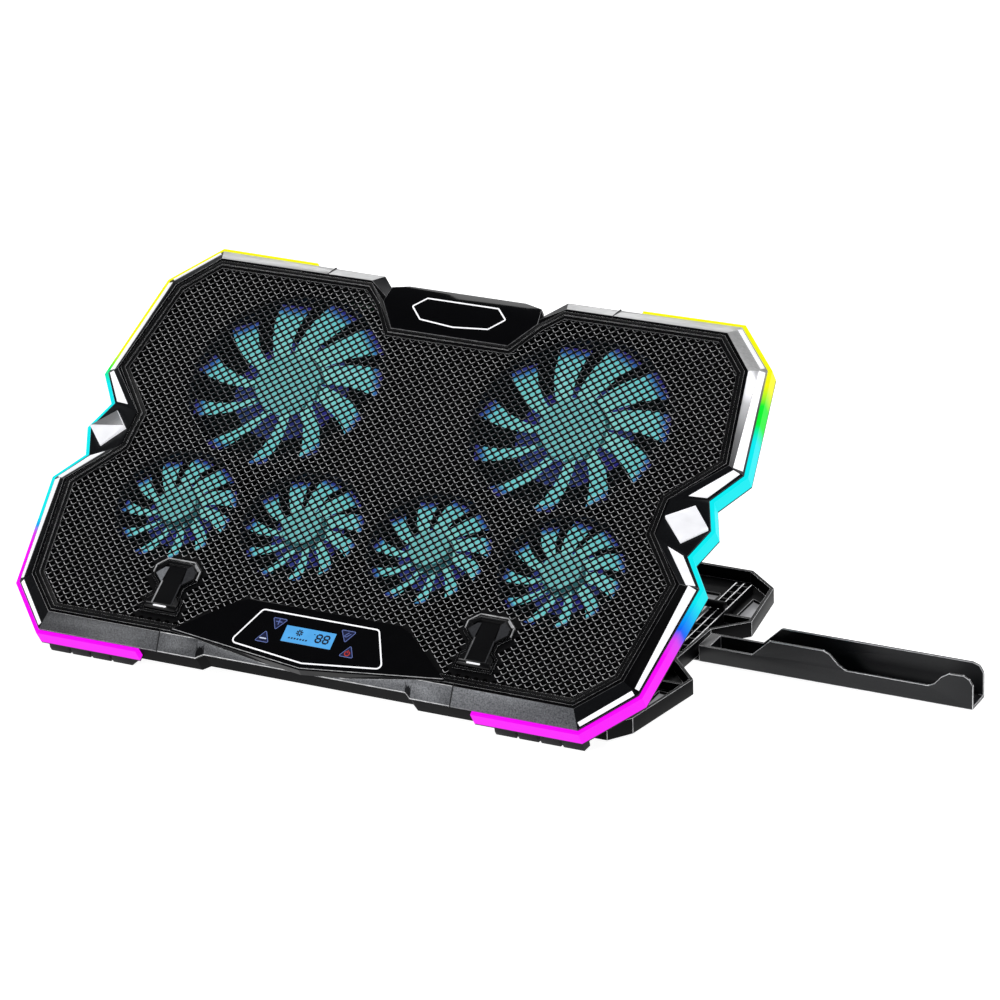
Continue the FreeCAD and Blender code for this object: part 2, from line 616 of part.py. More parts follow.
# thin tongue under the stand's edge that carries the tray's pin
pad(stand, [rectangle(172, tray_x, tray_y - 7, tray_y + 7)], "dims.tongue_low", "dims.tongue_thick")
pad(stand, [], "dims.tongue_low", "dims.tongue_thick", circles=[(tray_x, tray_y, 7.0)])
pocket(stand, [], 0, 5, circles=[(tray_x, tray_y, dim("tray_pin"))])
finish(stand, "stand_frame")

for side, sign in {"left": -1, "right": 1}.items():
    half = dim("rail_width") / 2
    x = sign * dim("rail_x")
    rail = new_body("ladder_rail_" + side)
    pad(rail, [rectangle(x - half, x + half, -60, 101)], floor_top, 1.2)
    for x0 in (x - half, x - 0.7, x + half - 1.4):
        pad(rail, [rectangle(x0, x0 + 1.4, -60, 101)], floor_top + 1.2,
            "dims.rail_top - dims.stand_lift - dims.stand_floor - 1.2")
    tooth = pad(rail, [[(-58, floor_top + 1), (-52.5, floor_top + 1), (-52.5, 8.2), (-54, 8.2)]],
                x - half + 1, dim("rail_width") - 2, "YZ_Plane")
    row = rail.newObject("PartDesign::LinearPattern", "tooth_row_" + side)
    row.Originals = [tooth]
    row.Direction = (plane(rail, "Y_Axis"), [""])
    row.Length = 150.0
    row.Occurrences = 16
    rail.Tip = row
    finish(rail, "ladder_rail_" + side)

pads = prism("stand_pads", [], 0, "dims.stand_lift",
             circles=[(0, 0, 6)] + [(sx * x, y, r) for sx in (-1, 1)
                                    for x, y, r in ((180, 99, 6), (184, -92, 6), (68, 103, 5),
                                                    (68, -101, 5))])
finish(pads, "stand_pads")
pins = [rod("hinge_pin_" + side, "hinge_pin", sign * 88 - 10.0, sign * 88 + 10.0, hinge_y, hinge_z)
        for side, sign in {"left": -1, "right": 1}.items()]
finish(group("hinge_pin_pair", pins), "hinge_pins")

# ---------------------------------------------------------------- prop yoke
pivot = PANEL.multVec(Vector(0, prop_py, prop_pz))
leg = math.hypot(dim("prop_reach"), prop_pz - hinge_pz)
slope = math.radians(dim("prop_path_slope"))
rise = math.atan2(pivot.z - hinge_z, pivot.y - hinge_y) - slope
foot_y = hinge_y + 2 * leg * math.cos(rise) * math.cos(slope)
foot_z = hinge_z + 2 * leg * math.cos(rise) * math.sin(slope)
line = Vector(foot_y - pivot.y, foot_z - pivot.z, 0).normalize()
normal = Vector(-line.y, line.x, 0)


def bar_section(start, end, half):
    """Rectangle about the pivot-to-foot line, between two distances from the pivot."""
    base = Vector(pivot.y, pivot.z, 0)
    corners = [base + line * start + normal * half, base + line * end + normal * half,
               base + line * end - normal * half, base + line * start - normal * half]
    return [(c.x, c.y) for c in corners]


prop = new_body("prop_yoke")
pad(prop, [], -dim("prop_foot_half"), 2 * dim("prop_foot_half"), "YZ_Plane",
    circles=[(foot_y, foot_z, dim("prop_foot_radius"))])
for side in (-1, 1):
    x0 = side * dim("prop_x") - dim("prop_arm_width") / 2
    pad(prop, [bar_section(0.0, leg, 2.2)], x0, "dims.prop_arm_width", "YZ_Plane")
    pad(prop, [], x0, "dims.prop_arm_width", "YZ_Plane",
        circles=[(pivot.y, pivot.z, dim("prop_end"))])
pad(prop, [bar_section(0.42 * leg, 0.58 * leg, 1.5)], -dim("prop_x"), 2 * dim("prop_x"), "YZ_Plane")
pocket(prop, [], -120, 240, "YZ_Plane",
       circles=[(pivot.y, pivot.z, dim("prop_pin") + dim("hinge_gap"))])
finish(prop, "prop_yoke")
pins = [rod("prop_pin_" + side, "prop_pin", sign * dim("prop_x") - 7.9, sign * dim("prop_x") + 7.9,
            prop_py, prop_pz) for side, sign in {"left": -1, "right": 1}.items()]
finish(group("prop_pin_pair", pins), "prop_pins", PANEL)

# ---------------------------------------------------------------- phone tray
wall, width, low = dim("tray_wall"), dim("tray_width"), dim("tray_low")
high, tray_end = dim("tray_high"), tray_x + dim("tray_length")
near, far = tray_y - width / 2, tray_y + width / 2
tray_start, sole = tray_x - dim("tray_inner"), dim("tray_sole")
tray_floor_top = sole + dim("tray_floor")
SOLE = [(tray_start, sole), (tray_end, sole)]
FRONT_WALL = SOLE + [(tray_end, 16.5), (tray_end - 2.2, 20.2), (tray_end - 6, 22.2),
                     (tray_end - 15, 22.0), (tray_end - 20, 19.0), (tray_end - 24, 14.2),
                     (tray_end - 28, 12.2), (286, 12.2), (281.5, 15.0), (276, 20.8),
                     (272, high - 0.4), (237.5, high - 0.4), (226, low), (tray_start, low)]
REAR_WALL = SOLE + [(tray_end, 17.5), (tray_end - 2.5, 21.8), (tray_end - 7, high + 0.4),
                    (238, high + 0.4), (226, low), (tray_start, low)]
tray = new_body("phone_tray")
pad(tray, [FRONT_WALL], -(near + wall), "dims.tray_wall", "XZ_Plane")
pad(tray, [REAR_WALL], -far, "dims.tray_wall", "XZ_Plane")
pad(tray, [rectangle(tray_start, tray_end, near, far)], "dims.tray_sole", "dims.tray_floor")
pad(tray, [rectangle(tray_start, tray_start + dim("tray_block"), near, far)], "dims.tray_sole",
    "dims.tray_low - dims.tray_sole")
pocket(tray, [], 0, 20, circles=[(tray_x, tray_y, dim("tray_pin") + dim("hinge_gap"))])
finish(tray, "phone_tray")
liner = [rectangle(238, tray_end - 3, near + 2.4, far - 2.4)]
finish(prism("tray_liner", liner, tray_floor_top, 0.8), "tray_liner")
finish(prism("tray_pad", [rectangle(340, 358, near + 3, far - 3)], 0.0, "dims.tray_sole"), "tray_pad")
stud = new_body("tray_pin")
pad(stud, [], "dims.tongue_low", tray_floor_top, circles=[(tray_x, tray_y, dim("tray_pin"))])
pad(stud, [], tray_floor_top + 0.1, 0.9, circles=[(tray_x, tray_y, 3.4)])
finish(stud, "tray_pin")

# ---------------------------------------------------------------- case screws
screws = prism("case_screws", [], "-dims.shell_depth - 0.9", 0.9,
               circles=[(sx * x, y, 2.8) for sx in (-1, 1)
                        for x, y in ((184, 100), (188, -98), (20, 112), (60, -100))])
finish(screws, "case_screws", PANEL)

doc.recompute()
for sub_part in sub_parts:
    shape = sub_part.Shape
    assert not shape.isNull() and shape.isValid(), sub_part.Label
for obj in doc.Objects:
    assert not {"Invalid", "Error"} & set(obj.State), obj.Name

os.makedirs("parts", exist_ok=True)
for sub_part in sub_parts:
    sub_part.Shape.exportStep("parts/%s.step" % sub_part.Label)
print(len(sub_parts), "sub-parts")
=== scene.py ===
"""Looks for the laptop cooling pad: surfaces, lattice, fans, lit details, camera and studio."""
import math

import bmesh
import bpy
from mathutils import Matrix, Vector
from mathutils.geometry import delaunay_2d_cdt, intersect_point_line


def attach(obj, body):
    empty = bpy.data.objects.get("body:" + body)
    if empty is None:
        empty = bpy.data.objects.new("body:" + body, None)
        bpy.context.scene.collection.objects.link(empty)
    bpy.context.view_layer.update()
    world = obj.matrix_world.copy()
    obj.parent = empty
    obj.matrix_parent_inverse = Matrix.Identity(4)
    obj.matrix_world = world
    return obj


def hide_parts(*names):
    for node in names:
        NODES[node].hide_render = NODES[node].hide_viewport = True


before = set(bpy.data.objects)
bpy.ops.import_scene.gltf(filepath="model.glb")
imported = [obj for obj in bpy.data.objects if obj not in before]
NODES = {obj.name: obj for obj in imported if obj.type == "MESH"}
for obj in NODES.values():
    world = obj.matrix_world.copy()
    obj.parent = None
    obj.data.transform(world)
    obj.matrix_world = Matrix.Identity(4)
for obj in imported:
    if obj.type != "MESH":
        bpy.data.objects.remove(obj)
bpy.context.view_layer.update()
MM = 0.001
WELD = 2e-6  # corners of a CAD mesh nearer than this, in metres, become one

# panel frame: x right, y up the slope, z out of the top face, metres
TILT = math.radians(33.0)
PANEL = Matrix.Translation((0, -0.018264, 0.097549)) @ Matrix.Rotation(TILT, 4, "X")
WORLD = Matrix.Identity(4)


# ---------------------------------------------------------------- materials
def new_material(name):
    """Material with an output, a shader and object coordinates."""
    mat = bpy.data.materials.new(name)
    mat.use_nodes = True
    tree = mat.node_tree
    tree.nodes.clear()
    out = tree.nodes.new("ShaderNodeOutputMaterial")
    shader = tree.nodes.new("ShaderNodeBsdfPrincipled")
    tree.links.new(shader.outputs[0], out.inputs[0])
    coords = tree.nodes.new("ShaderNodeTexCoord")
    return mat, tree, shader, coords.outputs["Object"]


def noise(tree, coords, scale, detail=2.0, rough=0.5, stretch=None):
    """Noise over the given coordinates, stretched per axis where asked."""
    node = tree.nodes.new("ShaderNodeTexNoise")
    node.inputs["Scale"].default_value = scale
    node.inputs["Detail"].default_value = detail
    node.inputs["Roughness"].default_value = rough
    if stretch:
        mapping = tree.nodes.new("ShaderNodeMapping")
        mapping.inputs["Scale"].default_value = stretch
        tree.links.new(coords, mapping.inputs["Vector"])
        coords = mapping.outputs[0]
    tree.links.new(coords, node.inputs["Vector"])
    return node.outputs["Fac"]


def ramp(tree, value, stops):
    """Colour ramp; stops are (place 0 to 1, colour)."""
    node = tree.nodes.new("ShaderNodeValToRGB")
    points = node.color_ramp.elements
    while len(points) < len(stops):
        points.new(0.5)
    for point, (place, colour) in zip(points, stops):
        point.position = place
        point.color = (*colour, 1.0)
    tree.links.new(value, node.inputs[0])
    return node.outputs[0]


def remap(tree, value, low, high, out_low, out_high):
    """Value from low to high turned into one from out_low to out_high, clamped."""
    node = tree.nodes.new("ShaderNodeMapRange")
    for socket, number in zip(("From Min", "From Max", "To Min", "To Max"),
                              (low, high, out_low, out_high)):
        node.inputs[socket].default_value = number
    tree.links.new(value, node.inputs["Value"])
    return node.outputs[0]


def shade(colour, factor):
    return tuple(min(1.0, channel * factor) for channel in colour)


def surface(name, colour, rough, metal=0.0, specular=0.5, vary=0.25, grain=900.0, bump=0.05,
            rough_vary=0.06, stretch=None, painted_light_ramp=None):
    """Moulded or painted surface: mottled colour, uneven gloss and a fine grain.

    painted_light_ramp = (low x, high x, gain at low, gain at high) in mm makes the colour lighter
    along x, as painted light."""
    mat, tree, shader, coords = new_material(name)
    fine = noise(tree, coords, grain, 3.0, 0.6, stretch)
    broad = noise(tree, coords, 24.0, 2.0)
    tint = ramp(tree, fine, [(0.3, shade(colour, 1 - vary)), (0.7, shade(colour, 1 + vary))])
    if painted_light_ramp:
        low, high, gain_low, gain_high = painted_light_ramp
        axes = tree.nodes.new("ShaderNodeSeparateXYZ")
        tree.links.new(coords, axes.inputs[0])
        scaled = tree.nodes.new("ShaderNodeVectorMath")
        scaled.operation = "SCALE"
        tree.links.new(tint, scaled.inputs[0])
        gain = remap(tree, axes.outputs["X"], low * MM, high * MM, gain_low, gain_high)
        tree.links.new(gain, scaled.inputs["Scale"])
        tint = scaled.outputs[0]
    tree.links.new(tint, shader.inputs["Base Color"])
    tree.links.new(remap(tree, broad, 0.3, 0.7, rough - rough_vary, rough + rough_vary),
                   shader.inputs["Roughness"])
    shader.inputs["Metallic"].default_value = metal
    shader.inputs["Specular IOR Level"].default_value = specular
    if bump:
        node = tree.nodes.new("ShaderNodeBump")
        node.inputs["Strength"].default_value = bump
        node.inputs["Distance"].default_value = 0.00012
        tree.links.new(fine, node.inputs["Height"])
        tree.links.new(node.outputs[0], shader.inputs["Normal"])
    return mat


def glowing(name, colour, strength, base=None, rough=0.35, mottle=0.08):
    """Lit translucent surface with slight unevenness."""
    mat, tree, shader, coords = new_material(name)
    cloud = noise(tree, coords, 140.0, 2.0)
    lit = ramp(tree, cloud, [(0.3, shade(colour, 1 - mottle)), (0.7, colour)])
    tree.links.new(lit, shader.inputs["Emission Color"])
    shader.inputs["Emission Strength"].default_value = strength
    tree.links.new(ramp(tree, cloud, [(0.3, shade(base or colour, 0.8)), (0.7, base or colour)]),
                   shader.inputs["Base Color"])
    shader.inputs["Roughness"].default_value = rough
    return mat


def along_slope(tree, coords, low, high):
    """0 to 1 up the panel's slope between two distances in metres, for coordinates in the world frame."""
    dot = tree.nodes.new("ShaderNodeVectorMath")
    dot.operation = "DOT_PRODUCT"
    dot.inputs[1].default_value = (0.0, math.cos(TILT), math.sin(TILT))
    tree.links.new(coords, dot.inputs[0])
    origin = PANEL.translation.y * math.cos(TILT) + PANEL.translation.z * math.sin(TILT)
    return remap(tree, dot.outputs["Value"], origin + low, origin + high, 0.0, 1.0)


def strip_light(name, stops):
    """Colour bands of a light strip; stops are (distance up the slope in mm, colour)."""
    mat, tree, shader, coords = new_material(name)
    low, high = -150.0, 150.0
    place = along_slope(tree, coords, low * MM, high * MM)
    bands = ramp(tree, place, [((y - low) / (high - low), colour) for y, colour in stops])
    tree.links.new(bands, shader.inputs["Emission Color"])
    shader.inputs["Emission Strength"].default_value = 1.0
    cloud = noise(tree, coords, 140.0, 2.0)
    tree.links.new(ramp(tree, cloud, [(0.3, (0.004, 0.004, 0.004)), (0.7, (0.006, 0.006, 0.006))]),
                   shader.inputs["Base Color"])
    shader.inputs["Roughness"].default_value = 0.5
    shader.inputs["Specular IOR Level"].default_value = 0.1
    return mat


def reflection_ramp_paint(name, low, high):
    """Satin side paint with a painted reflection, light at the rear corner and darkening to the waist;
    heights up the slope in mm.
    """
    mat, tree, shader, coords = new_material(name)
    axes = tree.nodes.new("ShaderNodeSeparateXYZ")
    tree.links.new(coords, axes.inputs[0])
    place = remap(tree, axes.outputs["Y"], low * MM, high * MM, 0.0, 1.0)
    tone = ramp(tree, place, [(0.0, (0.01, 0.01, 0.011)), (0.3, (0.04, 0.04, 0.042)),
                              (0.62, (0.16, 0.16, 0.165)), (0.85, (0.5, 0.5, 0.52)),
                              (1.0, (0.85, 0.85, 0.87))])
    tree.links.new(tone, shader.inputs["Base Color"])
    shader.inputs["Metallic"].default_value = 0.6
    shader.inputs["Roughness"].default_value = 0.3
    return mat


YELLOW, GREEN, CYAN = (0.95, 0.95, 0.0), (0.0, 0.9, 0.03), (0.0, 0.85, 0.9)
AZURE, BLUE = (0.0, 0.35, 0.95), (0.0, 0.12, 0.95)
MAGENTA, VIOLET = (0.95, 0.0, 0.95), (0.72, 0.05, 0.9)

MATS = {
    "shell": surface("moulded_black", (0.003, 0.003, 0.0035), 0.6, specular=0.05, grain=1300, bump=0.2),
    # front trim flake grey, made lighter towards +x as painted light
    "front_paint": surface("flake_grey", (0.095, 0.098, 0.105), 0.42, metal=0.4, vary=0.6, grain=1100,
                           bump=0.2, rough_vary=0.04, painted_light_ramp=(-190, 150, 0.5, 1.6)),
    "side_paint": surface("gunmetal", (0.010, 0.0105, 0.012), 0.32, metal=0.3, specular=0.1,
                          grain=1100, bump=0.08),
    # a darker copy of the gunmetal, put on trim faces as painted shade
    "shaded_gunmetal": surface("gunmetal_painted_shade", (0.003, 0.003, 0.0035), 0.3, specular=0.04, grain=1100,
                          bump=0.08),
    # side trim paint that carries a painted reflection
    "reflection_paint": reflection_ramp_paint("side_painted_reflection", 44.0, 114.0),
    "rear_paint": surface("satin_silver", (0.5, 0.5, 0.5), 0.4, metal=0.35, vary=0.15, grain=900,
                          bump=0.08, stretch=(0.15, 1, 1)),
    # chrome inlays and pin faces: a pale plate that glows, as painted reflection
    "chrome": glowing("plate_painted_reflection", (0.9, 0.9, 0.92), 0.6, (0.85, 0.85, 0.87), 0.25, mottle=0.03),
    # the diamond: a darker copy as painted shade, and a glowing pale copy as painted highlight
    "gem_shaded": surface("shaded_gem", (0.30, 0.30, 0.31), 0.35, metal=0.2, vary=0.1, grain=600,
                          bump=0.05),
    "gem": glowing("gem_painted_highlight", (0.9, 0.9, 0.93), 0.5, (0.85, 0.85, 0.88), 0.2, mottle=0.03),
    "lattice": surface("coated_steel", (0.004, 0.004, 0.0045), 0.4, specular=0.1, vary=0.3,
                       grain=700, bump=0.1),
    # pale paint on the rims of the lattice openings as painted glints, and a darker copy of it over the
    # fans
    "rim": surface("rim_painted_glint", (0.85, 0.85, 0.87), 0.4, metal=0.2, specular=0.6, vary=0.2, grain=420,
                   bump=0.1),
    "rim_shaded": surface("shaded_rim", (0.30, 0.31, 0.33), 0.4, metal=0.2, vary=0.3, grain=420,
                          bump=0.1),
    "gasket": surface("lip_black", (0.003, 0.003, 0.0035), 0.35, specular=0.15, grain=600, bump=0.05),
    "gloss": surface("piano_black", (0.002, 0.002, 0.0025), 0.07, specular=0.16, vary=0.15, grain=120,
                     bump=0.0, rough_vary=0.02),
    "stop": surface("stop_black", (0.0025, 0.0025, 0.003), 0.26, specular=0.25, grain=900, bump=0.05),
    # pale paints for thin lines along edges: painted highlights, bright, brighter and dim
    "edge": surface("edge_painted_highlight", (0.62, 0.62, 0.63), 0.3, metal=0.3, vary=0.3, grain=240, bump=0.0),
    "line": surface("line_painted_highlight", (0.72, 0.72, 0.73), 0.3, metal=0.2, vary=0.4, grain=240, bump=0.0),
    "dim_edge": surface("dim_painted_highlight", (0.2, 0.2, 0.205), 0.3, metal=0.2, vary=0.4, grain=240, bump=0.0),
    "stand": surface("satin_black", (0.003, 0.003, 0.0035), 0.45, specular=0.08, grain=1200, bump=0.15),
    "rail": surface("rail_black", (0.003, 0.003, 0.0035), 0.4, specular=0.08, grain=800, bump=0.1),
    "slate": surface("slate", (0.04, 0.041, 0.045), 0.4, specular=0.2, grain=700, bump=0.1),
    "tray": surface("charcoal", (0.008, 0.0085, 0.01), 0.4, specular=0.35, grain=1300, bump=0.15),
    "plate": surface("plate_grey", (0.30, 0.31, 0.33), 0.35, metal=0.3, grain=700, bump=0.1),
    "rubber": surface("rubber", (0.011, 0.011, 0.012), 0.75, specular=0.3, vary=0.4, grain=1600,
                      bump=0.4),
    "filter": surface("dust_filter", (0.0025, 0.0025, 0.003), 0.85, specular=0.05, vary=0.5,
                      grain=900, bump=0.5),
    "steel": surface("bare_steel", (0.5, 0.5, 0.52), 0.28, metal=1.0, vary=0.1, grain=500, bump=0.08,
                     stretch=(1, 0.1, 0.1)),
    "board": surface("circuit_board", (0.02, 0.10, 0.05), 0.4, vary=0.3, grain=260, bump=0.2),
    "stator": surface("frame_black", (0.004, 0.004, 0.005), 0.5, specular=0.2, grain=1100, bump=0.2),
    # white print, given a glow of painted light
    "white": glowing("print_painted_glow", (0.95, 0.95, 0.97), 0.75, (0.8, 0.8, 0.82)),
    "lcd": glowing("lcd_lit", (0.09, 0.42, 0.87), 0.95, (0.02, 0.05, 0.1), 0.18),
    "ink": surface("lcd_ink", (0.006, 0.012, 0.04), 0.4, vary=0.2, grain=500, bump=0.0),
    "key": glowing("key_lit", (0.11, 0.15, 0.36), 1.0, (0.01, 0.02, 0.1)),
    "key_fill": glowing("key_dark", (0.003, 0.006, 0.035), 1.0, (0.002, 0.002, 0.01)),
    "glyph": glowing("glyph_lit", (0.6, 0.68, 0.85), 1.0, (0.1, 0.1, 0.15)),
    "red": glowing("key_red", (0.42, 0.03, 0.02), 1.0, (0.1, 0.01, 0.01)),
    "led": glowing("led_tape", (0.03, 0.05, 0.06), 1.0, (0.02, 0.02, 0.02)),
    "strip_right": strip_light("strip_colours_right", [
        (-150, MAGENTA), (-88, MAGENTA), (-76, VIOLET), (-69, BLUE), (-61, AZURE), (-48, CYAN),
        (66, CYAN), (78, GREEN), (92, GREEN), (106, YELLOW), (150, YELLOW)]),
    "strip_left": strip_light("strip_colours_left", [
        (-150, MAGENTA), (-88, MAGENTA), (-80, VIOLET), (-75, AZURE), (-68, CYAN), (34, CYAN),
        (46, GREEN), (60, YELLOW), (150, YELLOW)]),
}


def give(node, material):
    """Replace every material slot of a CAD node."""
    obj = NODES[node]
    obj.data.materials.clear()
    obj.data.materials.append(MATS[material])


# ---------------------------------------------------------------- geometry helpers
def add_piece(name, mesh, material, body, matrix=PANEL, stands_for=()):
    """Link a mesh as a visual piece; material is one name or several for a mesh with face indices."""
    for entry in [material] if isinstance(material, str) else material:
        mesh.materials.append(MATS[entry])
    obj = bpy.data.objects.new(name, mesh)
    bpy.context.scene.collection.objects.link(obj)
    obj.matrix_world = matrix
    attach(obj, body)
    if stands_for:
        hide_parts(*stands_for)
    return obj


def mesh_from(name, verts, faces, smooth=False):
    """Mesh from points in mm."""
    mesh = bpy.data.meshes.new(name)
    mesh.from_pydata([[c * MM for c in v] for v in verts], [], faces)
    mesh.validate()
    for polygon in mesh.polygons:
        polygon.use_smooth = smooth
    return mesh


def outward(mesh):
    """Turn every face of a closed mesh to look outwards."""
    bm = bmesh.new()
    bm.from_mesh(mesh)
    bmesh.ops.recalc_face_normals(bm, faces=bm.faces)
    bm.to_mesh(mesh)
    bm.free()
    return mesh


def soften(node, material, body, width, matrix=WORLD, angle=24.0, segments=2, pick=None,
           edge=False, flat=False):
    """Stand-in for a CAD node: the same solid with its hard edges rounded by width (mm).

    pick(centre, normal) gives the index of each face's material; with edge, the rounded edges take
    the last material, a pale paint that stands as painted highlight along the edges."""
    mesh = NODES[node].data.copy()
    mesh.materials.clear()
    mesh.transform(matrix.inverted())
    bm = bmesh.new()
    bm.from_mesh(mesh)
    bmesh.ops.remove_doubles(bm, verts=bm.verts, dist=WELD)
    bmesh.ops.dissolve_limit(bm, angle_limit=math.radians(0.08), verts=bm.verts, edges=bm.edges)
    bm.normal_update()
    for face in bm.faces:
        face.smooth = not flat
        face.material_index = pick(face.calc_center_median(), face.normal) if pick else 0
    bm.to_mesh(mesh)
    bm.free()
    obj = add_piece(node + "_shaped", mesh, material, body, matrix, (node,))
    bevel = obj.modifiers.new("rounded", "BEVEL")
    bevel.width = width * MM
    bevel.segments = segments
    bevel.limit_method = "ANGLE"
    bevel.angle_limit = math.radians(angle)
    bevel.harden_normals = not flat
    bevel.use_clamp_overlap = True
    bevel.miter_outer = "MITER_ARC"
    if edge:
        bevel.material = len(mesh.materials) - 1
    return obj


def round_corners(points, radius, steps=5):
    """Closed 2-D outline with each corner replaced by an arc."""
    result = []
    count = len(points)
    for i in range(count):
        before, here, after = (Vector(points[j % count]) for j in (i - 1, i, i + 1))
        u, v = (before - here).normalized(), (after - here).normalized()
        half = math.acos(max(-1.0, min(1.0, u.dot(v)))) / 2
        reach = min(radius / math.tan(half), 0.45 * (before - here).length,
                    0.45 * (after - here).length)
        centre = here + (u + v).normalized() * (reach / math.cos(half))
        start, end = here + u * reach - centre, here + v * reach - centre
        turn = math.atan2(start.x * end.y - start.y * end.x, start.dot(end))
        for k in range(steps + 1):
            a = turn * k / steps
            spin = Vector((start.x * math.cos(a) - start.y * math.sin(a),
                           start.x * math.sin(a) + start.y * math.cos(a)))
            result.append(tuple(centre + spin))
    return result


def offset(points, distance):
    """Closed outline moved inwards (outline anticlockwise or clockwise) by distance."""
    count = len(points)
    area = sum(points[i - 1][0] * points[i][1] - points[i][0] * points[i - 1][1] for i in range(count))
    side = 1.0 if area > 0 else -1.0
    moved = []
    for i in range(count):
        before, here, after = (Vector(points[j % count]) for j in (i - 1, i, i + 1))
        a, b = (here - before).normalized(), (after - here).normalized()
        na, nb = Vector((-a.y, a.x)) * side, Vector((-b.y, b.x)) * side
        moved.append(tuple(here + (na + nb) * (distance / (1.0 + na.dot(nb)))))
    return moved


def ring_mesh(name, outline, width, low, high):
    """Closed band: outline and its inward offset, with a slightly domed top."""
    inner = offset(outline, width)
    shoulder_out, shoulder_in = offset(outline, 0.15 * width), offset(outline, 0.85 * width)
    count = len(outline)
    loops = [(outline, low), (outline, high - 0.3 * (high - low)), (shoulder_out, high),
             (shoulder_in, high), (inner, high - 0.3 * (high - low)), (inner, low)]
    verts = [(x, y, z) for loop, z in loops for x, y in loop]
    faces = []
    for k in range(len(loops)):
        a, b = k * count, ((k + 1) % len(loops)) * count
        faces += [(a + i, a + (i + 1) % count, b + (i + 1) % count, b + i) for i in range(count)]
    return mesh_from(name, verts, faces)


def prism_mesh(name, loops, low, high):
    """Solid polygons (list of convex loops) between two heights."""
    verts, faces = [], []
    for loop in loops:
        start, count = len(verts), len(loop)
        verts += [(x, y, z) for z in (low, high) for x, y in loop]
        faces += [tuple(start + i for i in reversed(range(count))),
                  tuple(start + count + i for i in range(count))]
        faces += [(start + i, start + (i + 1) % count, start + count + (i + 1) % count,
                   start + count + i) for i in range(count)]
    return outward(mesh_from(name, verts, faces))


def bar_mesh(name, profile, x_low, x_high):
    """Bar along x with a side profile of (y, z) points."""
    count = len(profile)
    verts = [(x, y, z) for x in (x_low, x_high) for y, z in profile]
    faces = [tuple(range(count)), tuple(range(count, 2 * count))]
    faces += [(i, (i + 1) % count, count + (i + 1) % count, count + i) for i in range(count)]
    return outward(mesh_from(name, verts, faces))


def bar(x0, y0, x1, y1, width):
    """Pointed bar from one point to another."""
    a, b = Vector((x0, y0)), Vector((x1, y1))
    u = (b - a).normalized()
    n = Vector((-u.y, u.x)) * (width / 2)
    tip = u * (width / 2)
    return [tuple(p) for p in (a, a + tip + n, b - tip + n, b, b - tip - n, a + tip - n)]


def merged(name, meshes):
    """One mesh from several."""
    bm = bmesh.new()
    for mesh in meshes:
        bm.from_mesh(mesh)
    joined = bpy.data.meshes.new(name)
    bm.to_mesh(joined)
    bm.free()
    return joined


def both_sides(half):
    """Closed outline from its right half, mirrored in x."""
    return half + [(-x, y) for x, y in reversed(half) if abs(x) > 0.01]


def inside(point, loop):
    """Whether a point lies in a closed loop."""
    x, y = point
    hit = False
    for i in range(len(loop)):
        (x0, y0), (x1, y1) = loop[i - 1], loop[i]
        if (y0 > y) != (y1 > y) and x < (x1 - x0) * (y - y0) / (y1 - y0) + x0:
            hit = not hit
    return hit


def clearance(point, loop):
    """Distance from a point to the nearest side of a loop."""
    best = 1e9
    p = Vector((*point, 0))
    for i in range(len(loop)):
        a, b = Vector((*loop[i - 1], 0)), Vector((*loop[i], 0))
        near, share = intersect_point_line(p, a, b)
        near = a if share < 0 else b if share > 1 else near
        best = min(best, (p - near).length)
    return best


# ---------------------------------------------------------------- lattice sheet
MESH = both_sides([(0, 101.4), (40, 101.4), (53, 120.3), (66, 132.6), (172.6, 132.6), (194, 109.2),
                   (206, 43.2), (179.5, 12), (180, -12), (205.4, -43.4), (196, -111.8), (174.4, -134.4),
                   (0, -134.4)])
CONSOLE = both_sides([(0, -103.4), (50, -103.4), (59, -107.3), (92, -134.2), (0, -144.9)])
STOP_X, STOP_Y = 105.0, -119.0
# centre x, centre y, radius, hub radius, first blade angle
FANS = {"large_left": (-97, 57, 62, 20, 0.47), "large_right": (97, 57, 62, 20, 0.47),
        "small_1": (-130, -44, 38, 13, 0.10), "small_2": (-43, -44, 38, 13, 0.04),
        "small_3": (43, -44, 38, 13, 0.0), "small_4": (130, -44, 38, 13, 0.16)}


def cradle_outline(sign):
    """Opening of the lattice round one laptop stop; sign is -1 left, 1 right."""
    plan = both_sides([(0, STOP_Y + 32.0), (8.5, STOP_Y + 32.0), (13.5, STOP_Y + 27.5),
                       (13.5, STOP_Y + 21.5), (7.0, STOP_Y + 15.5), (7.0, STOP_Y + 8.0),
                       (10.5, STOP_Y + 4.5), (10.5, STOP_Y - 2.6), (0, STOP_Y - 2.6)])
    return [(x + sign * STOP_X, y) for x, y in offset(plan, -2.2)]


